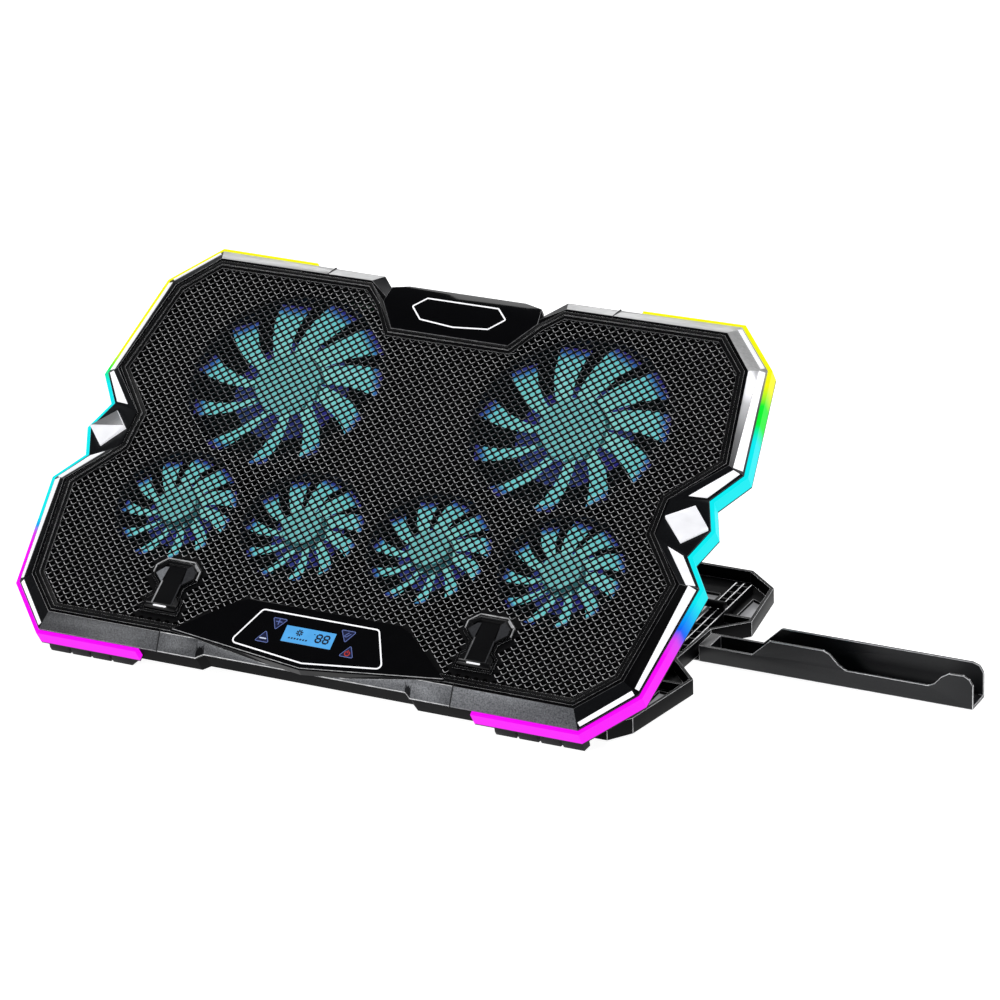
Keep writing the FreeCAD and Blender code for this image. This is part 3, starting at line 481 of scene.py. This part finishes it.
def lattice_sheet():
    """Steel sheet pressed with staggered diamond openings whose rims roll inwards."""
    pitch_x, pitch_y, radius, roll, sides = 5.9, 2.85, 1.50, 0.38, 8
    top, shoulder, lip, bottom = 5.6, 5.52, 5.3, 4.9
    edge_gap, console_gap, cradle_gap = 2.8, 2.0, 2.26
    rows, columns, half_side, facing_rear = 50, 36, 0.6, 0.12
    cradles = [cradle_outline(-1), cradle_outline(1)]
    border = [MESH] + cradles
    centres = []
    for row in range(-rows, rows):
        for column in range(-columns, columns + 1):
            point = (column * pitch_x + (row % 2) * pitch_x / 2, row * pitch_y)
            if not inside(point, MESH) or clearance(point, MESH) < edge_gap:
                continue
            if inside(point, CONSOLE) or clearance(point, CONSOLE) < console_gap:
                continue
            if any(inside(point, c) or clearance(point, c) < cradle_gap for c in cradles):
                continue
            centres.append(point)
    flat, loops = [], []
    for loop in border:
        loops.append(list(range(len(flat), len(flat) + len(loop))))
        flat += [Vector(p) for p in loop]
    first_hole = len(flat)
    # square with cut corners, its four sides turned towards the neighbouring openings
    lean = math.atan2(pitch_y, pitch_x / 2)
    turns = []
    for quarter in range(4):
        for cut in (-half_side, half_side):
            u = lean + quarter * math.pi / 2
            turns.append((math.cos(u) - cut * math.sin(u), math.sin(u) + cut * math.cos(u)))
    for cx, cy in centres:
        loops.append(list(range(len(flat), len(flat) + sides)))
        flat += [Vector((cx + (radius + roll) * c, cy + (radius + roll) * s)) for c, s in turns]
    edges = [(loop[i - 1], loop[i]) for loop in loops for i in range(len(loop))]
    points, _, triangles, origins, _, _ = delaunay_2d_cdt(flat, edges, [], 0, 1e-5, True)
    order = [ids[0] for ids in origins]
    place = {source: i for i, source in enumerate(order)}
    count = len(points)

    def is_sheet(triangle):
        sources = [order[i] for i in triangle]
        if min(sources) < first_hole:
            middle = sum((points[i] for i in triangle), Vector((0, 0))) / 3
            return inside(middle, MESH) and not any(inside(middle, c) for c in cradles)
        return len({(source - first_hole) // sides for source in sources}) > 1

    triangles = [t for t in triangles if is_sheet(t)]
    verts = [(p.x, p.y, top) for p in points] + [(p.x, p.y, bottom) for p in points]
    faces = [tuple(t) for t in triangles] + [tuple(count + i for i in reversed(t)) for t in triangles]
    for loop in loops[:len(border)]:
        for i in range(len(loop)):
            a, b = place[loop[i - 1]], place[loop[i]]
            faces.append((a, b, count + b, count + a))
    for index, (cx, cy) in enumerate(centres):
        rim = [place[first_hole + index * sides + k] for k in range(sides)]
        start = len(verts)
        for shrink, height in (((radius + 0.35 * roll) / (radius + roll), shoulder),
                               (radius / (radius + roll), lip)):
            for k in rim:
                x, y = points[k]
                verts.append((cx + (x - cx) * shrink, cy + (y - cy) * shrink, height))
        for k, corner in enumerate(rim):
            verts[count + corner] = (*verts[start + sides + k][:2], bottom)
        for k in range(sides):
            n = (k + 1) % sides
            faces.append((rim[n], rim[k], start + k, start + n))
            faces.append((start + n, start + k, start + sides + k, start + sides + n))
            faces.append((start + sides + n, start + sides + k, count + rim[k], count + rim[n]))
    mesh = mesh_from("lattice_sheet", verts, faces)
    bm = bmesh.new()
    bm.from_mesh(mesh)
    bmesh.ops.recalc_face_normals(bm, faces=bm.faces)
    for face in bm.faces:
        heights = [v.co.z / MM for v in face.verts]
        rolled = max(heights) > shoulder - 0.01 and bottom + 0.01 < min(heights) < top - 0.01
        face.smooth = rolled
        # rolled rim faces turned to the rear take the painted glint, the darker copy over the fans
        if rolled and face.normal.y > facing_rear:
            middle = face.calc_center_median() / MM
            over_fan = any(math.hypot(middle.x - x, middle.y - y) < fan_radius - 1
                           for x, y, fan_radius, _, _ in FANS.values())
            face.material_index = 2 if over_fan else 1
    bm.to_mesh(mesh)
    bm.free()
    return mesh


add_piece("lattice_sheet", lattice_sheet(), ("lattice", "rim", "rim_shaded"), "panel",
          PANEL, ("mesh_grille",))


# ---------------------------------------------------------------- fans
def blade_material(name, radius):
    """Lit blades: teal body, a dark band near the hub, then blue and violet towards the tip
    as painted shade.
    """
    mat, tree, shader, coords = new_material(name)
    flat = tree.nodes.new("ShaderNodeVectorMath")
    flat.operation = "MULTIPLY"
    flat.inputs[1].default_value = (1.0, 1.0, 0.0)
    tree.links.new(coords, flat.inputs[0])
    length = tree.nodes.new("ShaderNodeVectorMath")
    length.operation = "LENGTH"
    tree.links.new(flat.outputs[0], length.inputs[0])
    place = remap(tree, length.outputs["Value"], 0.0, radius * MM, 0.0, 1.0)
    teal, bright = (0.15, 0.50, 0.50), (0.22, 0.64, 0.60)
    lit = ramp(tree, place, [(0.0, teal), (0.325, teal), (0.335, (0.01, 0.05, 0.06)),
                             (0.365, (0.01, 0.05, 0.06)), (0.375, bright), (0.86, (0.14, 0.58, 0.60)),
                             (0.92, (0.03, 0.14, 0.42)), (0.97, (0.025, 0.02, 0.2)),
                             (1.0, (0.02, 0.01, 0.12))])
    tree.links.new(lit, shader.inputs["Emission Color"])
    shader.inputs["Emission Strength"].default_value = 0.88
    shader.inputs["Base Color"].default_value = (0.02, 0.09, 0.09, 1)
    shader.inputs["Roughness"].default_value = 0.3
    return mat


def blade_point(radius, hub, share, chord, side):
    """One point of a blade's camber surface; share runs root to tip, side -1 (low) to 1 (high)."""
    r = hub - 1.0 + (radius - hub + 1.0) * share
    sweep = -0.30 * share ** 1.15
    pitch = math.radians(33 - 11 * share)
    width = chord * (0.62 + 0.68 * share)
    tangential = 0.5 * width * side * math.cos(pitch)
    lift = 0.5 * width * side * math.sin(pitch) - 0.9 * (1 - side * side)
    angle = sweep + tangential / r
    return r, angle, lift


def rotor_mesh(name, radius, hub, start):
    """Fan wheel: curved blades of some thickness (half on each side) round a turned hub."""
    rows, cols, count, half = 7, 5, 11, 0.5
    lowest, middle, highest = -9.6, -5.0, 1.0
    chord = 0.226 * radius
    verts, faces = [], []
    for b in range(count):
        base = len(verts)
        turn = start + 2 * math.pi * b / count
        for face_side in (1, -1):
            for i in range(rows):
                for j in range(cols):
                    r, a, lift = blade_point(radius, hub, i / (rows - 1), chord,
                                             -1 + 2 * j / (cols - 1))
                    z = max(lowest, min(highest, middle + lift)) + face_side * half
                    verts.append((r * math.cos(a + turn), r * math.sin(a + turn), z))
        grid = rows * cols
        for i in range(rows - 1):
            for j in range(cols - 1):
                a, b2, c, d = (base + i * cols + j, base + (i + 1) * cols + j,
                               base + (i + 1) * cols + j + 1, base + i * cols + j + 1)
                faces += [(a, b2, c, d), (grid + d, grid + c, grid + b2, grid + a)]
        ring = ([i * cols for i in range(rows)] + [(rows - 1) * cols + j for j in range(1, cols)]
                + [i * cols + cols - 1 for i in reversed(range(rows - 1))]
                + [j for j in reversed(range(1, cols - 1))])
        for k in range(len(ring)):
            p, q = base + ring[k - 1], base + ring[k]
            faces.append((q, p, grid + p, grid + q))
    profile = [(0.0, 0.2), (hub * 0.30, 0.2), (hub * 0.34, -0.5), (hub * 0.80, -0.5), (hub * 0.86, 0.9),
               (hub * 0.97, 0.9), (hub, 0.3), (hub, -9.6), (hub * 0.9, -10.0), (0.0, -10.0)]
    steps = 48
    base = len(verts)
    for r, z in profile:
        verts += [(r * math.cos(2 * math.pi * k / steps), r * math.sin(2 * math.pi * k / steps), z)
                  for k in range(steps)]
    for ring_index in range(len(profile) - 1):
        a, b2 = base + ring_index * steps, base + (ring_index + 1) * steps
        faces += [(a + k, b2 + k, b2 + (k + 1) % steps, a + (k + 1) % steps) for k in range(steps)]
    mesh = mesh_from(name, verts, faces, smooth=True)
    bm = bmesh.new()
    bm.from_mesh(mesh)
    bmesh.ops.remove_doubles(bm, verts=bm.verts, dist=1e-7)
    bmesh.ops.recalc_face_normals(bm, faces=bm.faces)
    bm.to_mesh(mesh)
    bm.free()
    mesh.shade_smooth()
    return mesh


def annulus_mesh(name, inner, outer, low, high, steps=64):
    """Flat washer."""
    verts, faces = [], []
    loops = [(outer, low), (outer, high), (inner, high), (inner, low)]
    for r, z in loops:
        verts += [(r * math.cos(2 * math.pi * k / steps), r * math.sin(2 * math.pi * k / steps), z)
                  for k in range(steps)]
    for index in range(4):
        a, b = index * steps, ((index + 1) % 4) * steps
        faces += [(a + k, b + k, b + (k + 1) % steps, a + (k + 1) % steps) for k in range(steps)]
    return outward(mesh_from(name, verts, faces))


# dim violet glow that stands for the blades' shaded side: painted shade
MATS["violet"] = glowing("violet_glow", (0.018, 0.012, 0.17), 1.0, (0.01, 0.01, 0.05), mottle=0.7)
FILTER_LOW, FILTER_TOP, RING_TOP = -11.98, -11.7, -11.3
for size, radius in (("large", 62), ("small", 38)):
    MATS["blade_" + size] = blade_material("lit_blade_" + size, radius)
for key, (x, y, radius, hub, start) in FANS.items():
    size = key.split("_")[0]
    spot = PANEL @ Matrix.Translation((x * MM, y * MM, 0))
    wheel = rotor_mesh("fan_wheel_" + key, radius - 0.6, hub, start)
    add_piece("fan_wheel_" + key, wheel, "blade_" + size, "rotor_" + key, spot,
              ("fan_rotor_" + key,))
    disc = annulus_mesh("fan_filter_" + key, hub - 1.8, radius + 0.3, FILTER_LOW, FILTER_TOP)
    add_piece("fan_filter_" + key, disc, "filter", "panel", spot)
    # a violet glowing disc under the blades, as painted shade in the gaps
    ring = annulus_mesh("fan_painted_glow_" + key, hub * 0.9, radius * 0.6, FILTER_TOP, RING_TOP)
    add_piece("fan_painted_glow_" + key, ring, "violet", "panel", spot)
    give("fan_stator_" + key, "stator")
give("fan_shrouds", "stator")

# ---------------------------------------------------------------- trim, bright parts, strips
TRIM_PAINTS = ("front_paint", "rear_paint", "side_paint", "shaded_gunmetal", "reflection_paint")
LIP_INSET, LIP_DROP = 0.15 * MM, 1.2 * MM


def trim_paint(centre, normal):
    """Index into TRIM_PAINTS by the way a bevel face is turned and where it lies. The paints are the
    trim's own tones, and the choice also paints light and shade: the reflection ramp on the right
    side's long facets is painted reflection, the darker copy on the flat tops and on the left side's
    matching facets painted shade.
    """
    if normal.z > 0.99:
        return 3
    bearing = math.degrees(math.atan2(normal.y, abs(normal.x)))
    if bearing < -70:
        return 0
    if bearing > 70 or (bearing > 20 and centre.x > 0.17 and centre.y > 0.1):
        return 1
    if -20 < bearing < 20 and centre.y > 41 * MM:
        return 4 if centre.x > 0 else 3
    return 3 if -20 < bearing < 0 and centre.y < -40 * MM else 2


def gem_face(centre, normal):
    """The facet turned to the rear and left takes the darker copy as painted shade."""
    return int(normal.z < 0.999 and normal.y > 0 and normal.x < 0)


def channel_mesh(node):
    """Black lip under a light strip: the strip's own shape, drawn in a little and moved down."""
    mesh = NODES[node].data.copy()
    mesh.materials.clear()
    mesh.transform(PANEL.inverted())
    bm = bmesh.new()
    bm.from_mesh(mesh)
    bmesh.ops.remove_doubles(bm, verts=bm.verts, dist=WELD)
    bm.normal_update()
    for vert in bm.verts:
        vert.co -= vert.normal * LIP_INSET
        vert.co.z -= LIP_DROP
    bm.to_mesh(mesh)
    bm.free()
    return mesh


for node in ("trim_left", "trim_right", "trim_front", "trim_rear_left", "trim_rear_right"):
    # the rounded trim edges take a painted highlight, brighter on the left and front trims
    edge_glint = "line" if node in ("trim_left", "trim_front") else "dim_edge"
    soften(node, (*TRIM_PAINTS, edge_glint), "panel", 0.25, PANEL, pick=trim_paint,
           edge=True)
for side in ("left", "right"):
    give("chrome_inlays_" + side, "chrome")
    soften("diamond_" + side, ("gem", "gem_shaded"), "panel", 0.05, PANEL, segments=1,
           pick=gem_face)
    give("light_strip_" + side, "strip_" + side)
    give("led_tape_" + side, "led")
    add_piece("strip_channel_" + side, channel_mesh("light_strip_" + side), "rubber", "panel")
    soften("stop_cradle_" + side, ("stop", "line"), "panel", 0.2, PANEL, edge=True)
    soften("stop_" + side, "stop", "stop_" + side, 0.25, PANEL)
    give("stop_pin_" + side, "steel")
    soften("front_foot_" + side, "rubber", "panel", 0.3)
soften("mesh_gasket", ("gasket", "line"), "panel", 0.2, PANEL, edge=True)
soften("bottom_shell", "shell", "panel", 0.4, PANEL)
soften("nameplate", ("gloss", "dim_edge"), "panel", 0.25, PANEL, edge=True)
soften("console_cover", "gloss", "panel", 0.25, PANEL, flat=True)
# a fine pale line along the console's front edges as painted highlight, and joint gaps, that stand
# 0.05 mm or so out of the surfaces they lie on
glint_bars = [bar(-90.4, -133.2, 0, -143.6, 0.4), bar(0, -143.6, 90.4, -133.2, 0.4)]
add_piece("console_glint_line", prism_mesh("console_glint_line", glint_bars, 7.6, 7.8), "line", "panel")
SEAM_X, GAP = 98.0, 0.35
seam = [(-146.35, -0.05), (-146.35, 1.05), (-136.4, 7.06), (-134.3, 7.06), (-134.3, 6.6), (-146.0, 0.6)]
rear_seam = [(144.2, -0.05), (144.2, 1.05), (134.7, 7.06), (132.4, 7.06), (132.4, 6.6), (143.8, 0.6)]
for side, sign in (("left", -1), ("right", 1)):
    for end, profile in (("front", seam), ("rear", rear_seam)):
        name = "seam_strip_%s_%s" % (end, side)
        add_piece(name, bar_mesh(name, profile, sign * SEAM_X - GAP, sign * SEAM_X + GAP), "rubber",
                  "panel")
for node, material in (("control_board", "board"), ("usb_board", "board"), ("board_posts", "shell"),
                       ("usb_sockets", "steel"), ("prop_pins", "steel"), ("case_screws", "steel"),
                       ("lcd_window", "lcd"), ("hinge_pins", "steel"),
                       ("tray_pin", "rail"), ("stand_pads", "rubber"), ("tray_pad", "rubber"),
                       ("tray_liner", "rubber")):
    give(node, material)

# ---------------------------------------------------------------- details on the laptop stops
STOP_TOP = 7.4
BED = STOP_TOP - 0.3


def stop_detail(name, side, loops, low, high, material, body):
    """Flat detail on a stop or its cradle; loops are measured from the middle of the stop's pin."""
    x = STOP_X if side == "right" else -STOP_X
    placed = [[(x + u, STOP_Y + v) for u, v in loop] for loop in loops]
    add_piece(name + "_" + side, prism_mesh(name, placed, low, high), material, body)


# pale cheeks, side lines, pin face, brow and glint on the black stops are painted highlights, the slate
# ones dimmer, and the left stop's lighter than the right's
for side in ("left", "right"):
    body = "stop_" + side
    stop_detail("stop_cheek_sheen_left", side, [[(-12.8, 22.0), (-8.3, 27.0), (-6.0, 27.4), (-6.9, 16.4)]],
                BED, STOP_TOP + 0.04, "plate" if side == "left" else "slate", body)
    stop_detail("stop_cheek_sheen_right", side,
                [[(6.9, 16.4), (12.8, 22.0), (12.8, 26.6), (8.3, 30.6), (6.2, 28.0)]],
                BED, STOP_TOP + 0.04, "slate", body)
    stop_detail("stop_arm", side, [[(-5.6, 1.4), (5.9, 1.4), (5.9, 28.0), (-5.6, 28.0)]],
                BED, STOP_TOP + 0.06, "stop", body)
    stop_detail("stop_rail_glint_left", side, [bar(-6.6, 1.0, -6.3, 17.4, 0.8)],
                STOP_TOP - 0.4, STOP_TOP + 0.25, "edge" if side == "left" else "dim_edge", body)
    stop_detail("stop_rail_glint_right", side, [bar(6.5, 1.2, 6.4, 17.0, 0.7)],
                STOP_TOP - 0.4, STOP_TOP + 0.2, "slate", body)
    stop_detail("stop_pin_glint", side, [bar(-5.0, -0.4, 4.2, -0.4, 1.1)], 7.75, 7.95, "chrome", body)
    brow = [(-15.0, 22.4), (-14.9, 27.9), (-9.0, 33.4), (9.0, 33.4), (14.9, 27.9), (15.0, 21.4)]
    stop_detail("cradle_brow_glint", side, [bar(*brow[i], *brow[i + 1], 0.55) for i in range(5)], 6.4, 7.2,
                "line", "panel")
    stop_detail("cradle_glint", side, [bar(9.6, 31.9, 14.0, 27.6, 1.0)], 6.4, 7.3, "edge", "panel")

# ---------------------------------------------------------------- stand, prop and tray
# pale lines along each ladder rail, just above its face, as painted highlights
RAIL_X, RAIL_FRONT, RAIL_BACK = 178.3, -59, 100
LINE_LOW, LINE_TOP = 8.45, 8.54
soften("stand_frame", ("stand", "edge"), "stand", 0.4, edge=True)
for side in ("left", "right"):
    soften("ladder_rail_" + side, "rail", "stand", 0.2)
    x = RAIL_X if side == "right" else -RAIL_X
    strips = [bar(x + u, RAIL_FRONT, x + u, RAIL_BACK, 0.6) for u in (-5.0, 0.0, 5.0)]
    lines = prism_mesh("rail_glint_lines", strips, LINE_LOW, LINE_TOP)
    add_piece("rail_glint_lines_" + side, lines, "edge", "stand", WORLD)
soften("prop_yoke", ("stand", "dim_edge"), "prop", 0.4, edge=True)


def tray_face(centre, normal):
    """Pale plate on top of the tray's inner block."""
    return int(normal.z > 0.9 and centre.x < 0.2 and centre.z > 0.01)


soften("phone_tray", ("tray", "plate", "edge"), "phone_tray", 0.4, pick=tray_face,
       edge=True)

# ---------------------------------------------------------------- printed and lit marks
CONSOLE_LINE = both_sides([(0, -108.4), (39, -108.4), (51.5, -134.6), (0, -140.6)])
NAME_LINE = [(-33, 119.7), (-25, 127.5), (24, 127.5), (32, 119.7), (23, 110.6), (-0.5, 108.3),
             (-24, 110.6)]
# height of the glossy covers, and of the key glyphs' undersides and tops above it
FACE = 7.7
GLYPH_LOW, GLYPH_TOP = FACE + 0.06, FACE + 0.14
for name, outline, corner, node in (("console_line", CONSOLE_LINE, 3.2, "console_outline"),
                                    ("nameplate_line", NAME_LINE, 1.2, "nameplate_outline")):
    band = ring_mesh(name, round_corners(outline, corner), 0.9, FACE - 0.1, FACE + 0.2)
    add_piece(name, band, "white", "panel", PANEL, (node,))


def digit_eight(x, y, width, height, slant=0.06):
    """Seven bars of a digit 8, lower left corner at (x, y)."""
    def spot(u, v):
        return x + u * width + slant * v * height, y + v * height
    ends = [((0, 0), (1, 0)), ((0, 0.5), (1, 0.5)), ((0, 1), (1, 1)), ((0, 0), (0, 0.5)),
            ((1, 0), (1, 0.5)), ((0, 0.5), (0, 1)), ((1, 0.5), (1, 1))]
    loops = []
    for a, b in ends:
        p, q = Vector(spot(*a)), Vector(spot(*b))
        gap = (q - p).normalized() * 0.05
        loops.append(bar(*(p + gap), *(q - gap), 1.15))
    return loops


# display: two digits, a small dash, a fan symbol and a row of slanted dots
ink = digit_eight(2.1, -124.4, 3.2, 5.2) + digit_eight(7.0, -124.4, 3.2, 5.2)
ink += [bar(-0.3, -119.6, 0.9, -119.6, 0.5)]
FAN_X, FAN_Y, VANES = -9.6, -120.3, 8
VANE = [(0.5, -0.1), (2.3, 0.2), (2.1, 1.2), (0.7, 0.6)]
for k in range(VANES):
    a = 2 * math.pi * k / VANES
    ink.append([(FAN_X + u * math.cos(a) - v * math.sin(a), FAN_Y + u * math.sin(a) + v * math.cos(a))
                for u, v in VANE])
for k in range(7):
    x = -15.6 + 1.9 * k
    ink.append([(x, -125.2), (x + 1.1, -125.2), (x + 1.35, -124.1), (x + 0.25, -124.1)])
add_piece("lcd_symbols", prism_mesh("lcd_symbols", ink, FACE - 0.12, FACE - 0.04), "ink", "panel")

KEYS = {"plus": [(-30.2, -112.9), (-20.0, -112.9), (-25.9, -121.4)],
        "minus": [(-26.2, -130.8), (-30.8, -122.4), (-36.0, -130.8)],
        "light": [(15.4, -112.9), (25.8, -112.9), (20.9, -121.6)],
        "power": [(30.3, -130.8), (25.9, -122.4), (20.3, -130.8)]}
frames = [ring_mesh("key_frame_" + name, round_corners(key, 0.8), 0.42, FACE, FACE + 0.15)
          for name, key in KEYS.items()]
add_piece("key_frames", merged("key_frames", frames), "key", "panel", PANEL, ("key_marks",))
fields = [offset(key, 0.3) for key in KEYS.values()]
add_piece("key_fields", prism_mesh("key_fields", fields, FACE - 0.05, FACE + 0.05), "key_fill", "panel")
plus_and_light = [bar(-27.7, -115.4, -23.1, -115.4, 0.6), bar(-25.4, -117.7, -25.4, -113.4, 0.6),
                  bar(18.9, -116.9, 21.4, -114.2, 0.5), bar(20.3, -117.6, 22.8, -114.9, 0.5),
                  bar(18.9, -116.9, 20.3, -117.6, 0.5)]
# power mark: an open ring with a stroke up from its middle
RING_X, RING_Y, RING_STEPS = 25.4, -128.2, 10
power = []
for k in range(RING_STEPS):
    a, b = (math.radians(120 + 300 * j / RING_STEPS) for j in (k, k + 1))
    power.append([(RING_X + r * math.cos(t), RING_Y + r * math.sin(t)) for r, t in
                  ((1.2, a), (1.9, a), (1.9, b), (1.2, b))])
power.append(bar(RING_X, RING_Y, RING_X, -125.7, 0.6))
for name, loops, material in (("minus_glyph", [bar(-33.4, -128.2, -28.6, -128.2, 0.8)], "glyph"),
                              ("dim_glyphs", plus_and_light, "key"), ("power_glyph", power, "red")):
    add_piece(name, prism_mesh(name, loops, GLYPH_LOW, GLYPH_TOP), material, "panel")

# ---------------------------------------------------------------- floor, light and camera
floor_mesh = bpy.data.meshes.new("studio_floor")
FLOOR_REACH, FLOOR_HEIGHT = 9, -0.0004
floor_mesh.from_pydata([(x * FLOOR_REACH, y * FLOOR_REACH, 0)
                        for x, y in ((-1, -1), (1, -1), (1, 1), (-1, 1))], [], [(0, 1, 2, 3)])
floor = bpy.data.objects.new("studio_floor", floor_mesh)
floor.location.z = FLOOR_HEIGHT
bpy.context.scene.collection.objects.link(floor)
floor_mat, tree, shader, coords = new_material("floor_white")
tree.links.new(ramp(tree, noise(tree, coords, 3.0),
                    [(0.0, (0.56, 0.56, 0.56)), (1.0, (0.6, 0.6, 0.6))]), shader.inputs["Base Color"])
shader.inputs["Roughness"].default_value = 0.9
shader.inputs["Specular IOR Level"].default_value = 0.1
shader.inputs["Emission Color"].default_value = (1, 1, 1, 1)
shader.inputs["Emission Strength"].default_value = 0.95
floor_mesh.materials.append(floor_mat)

# soft shade on the floor round the stand
STAND = both_sides([(0, 115), (178, 115), (200, 96), (207, 46), (188.5, 27), (186.5, -17.5),
                    (207, -40), (196, -101), (186, -115), (0, -115)])
shadow_mesh = prism_mesh("stand_shadow", [offset(STAND, 4.0)], -0.3, -0.1)
shadow_mesh.materials.append(glowing("floor_shade", (0.26, 0.26, 0.27), 0.7, (0.2, 0.2, 0.21)))
shadow = bpy.data.objects.new("stand_shadow", shadow_mesh)
bpy.context.scene.collection.objects.link(shadow)

world = bpy.data.worlds.new("studio")
bpy.context.scene.world = world
world.use_nodes = True
background = world.node_tree.nodes["Background"]
background.inputs["Color"].default_value = (0.9, 0.93, 1.0, 1)
background.inputs["Strength"].default_value = 0.12


def softbox(name, place, target, size, power):
    """Rectangular lamp aimed at a target; metres and watts."""
    data = bpy.data.lights.new(name, "AREA")
    data.shape = "RECTANGLE"
    data.size, data.size_y = size
    data.energy = power
    lamp = bpy.data.objects.new(name, data)
    bpy.context.scene.collection.objects.link(lamp)
    lamp.location = place
    lamp.rotation_euler = (Vector(target) - Vector(place)).to_track_quat("-Z", "Y").to_euler()


softbox("box_right_top", (1.5, 0.7, 2.3), (0.1, 0, 0.1), (1.2, 1.2), 30)
softbox("box_back", (-0.9, 2.6, 1.3), (0, 0, 0.1), (2.4, 1.0), 22)
softbox("box_rear_left_top", (-1.7, 1.3, 2.1), (0, 0, 0.1), (1.0, 1.0), 16)
softbox("box_front_left", (-1.6, -2.4, 1.2), (0, 0, 0.1), (1.6, 1.0), 30)

camera_data = bpy.data.cameras.new("camera")
camera_data.lens, camera_data.sensor_width = 173.0, 36.0
camera_data.clip_start, camera_data.clip_end = 0.1, 60.0
camera = bpy.data.objects.new("camera", camera_data)
bpy.context.scene.collection.objects.link(camera)
CAMERA_PLACE = (1.2689, -2.3585, 1.2352)
right, up, forward = (Vector(v).normalized() for v in ((0.8962, 0.4425, -0.0322),
                                                       (-0.1498, 0.3701, 0.9168),
                                                       (-0.4176, 0.8169, -0.3980)))
camera.matrix_world = Matrix.Translation(CAMERA_PLACE) @ Matrix(
    ((right.x, up.x, -forward.x), (right.y, up.y, -forward.y), (right.z, up.z, -forward.z))).to_4x4()
bpy.context.scene.camera = camera
bpy.context.scene.view_settings.view_transform = "Standard"
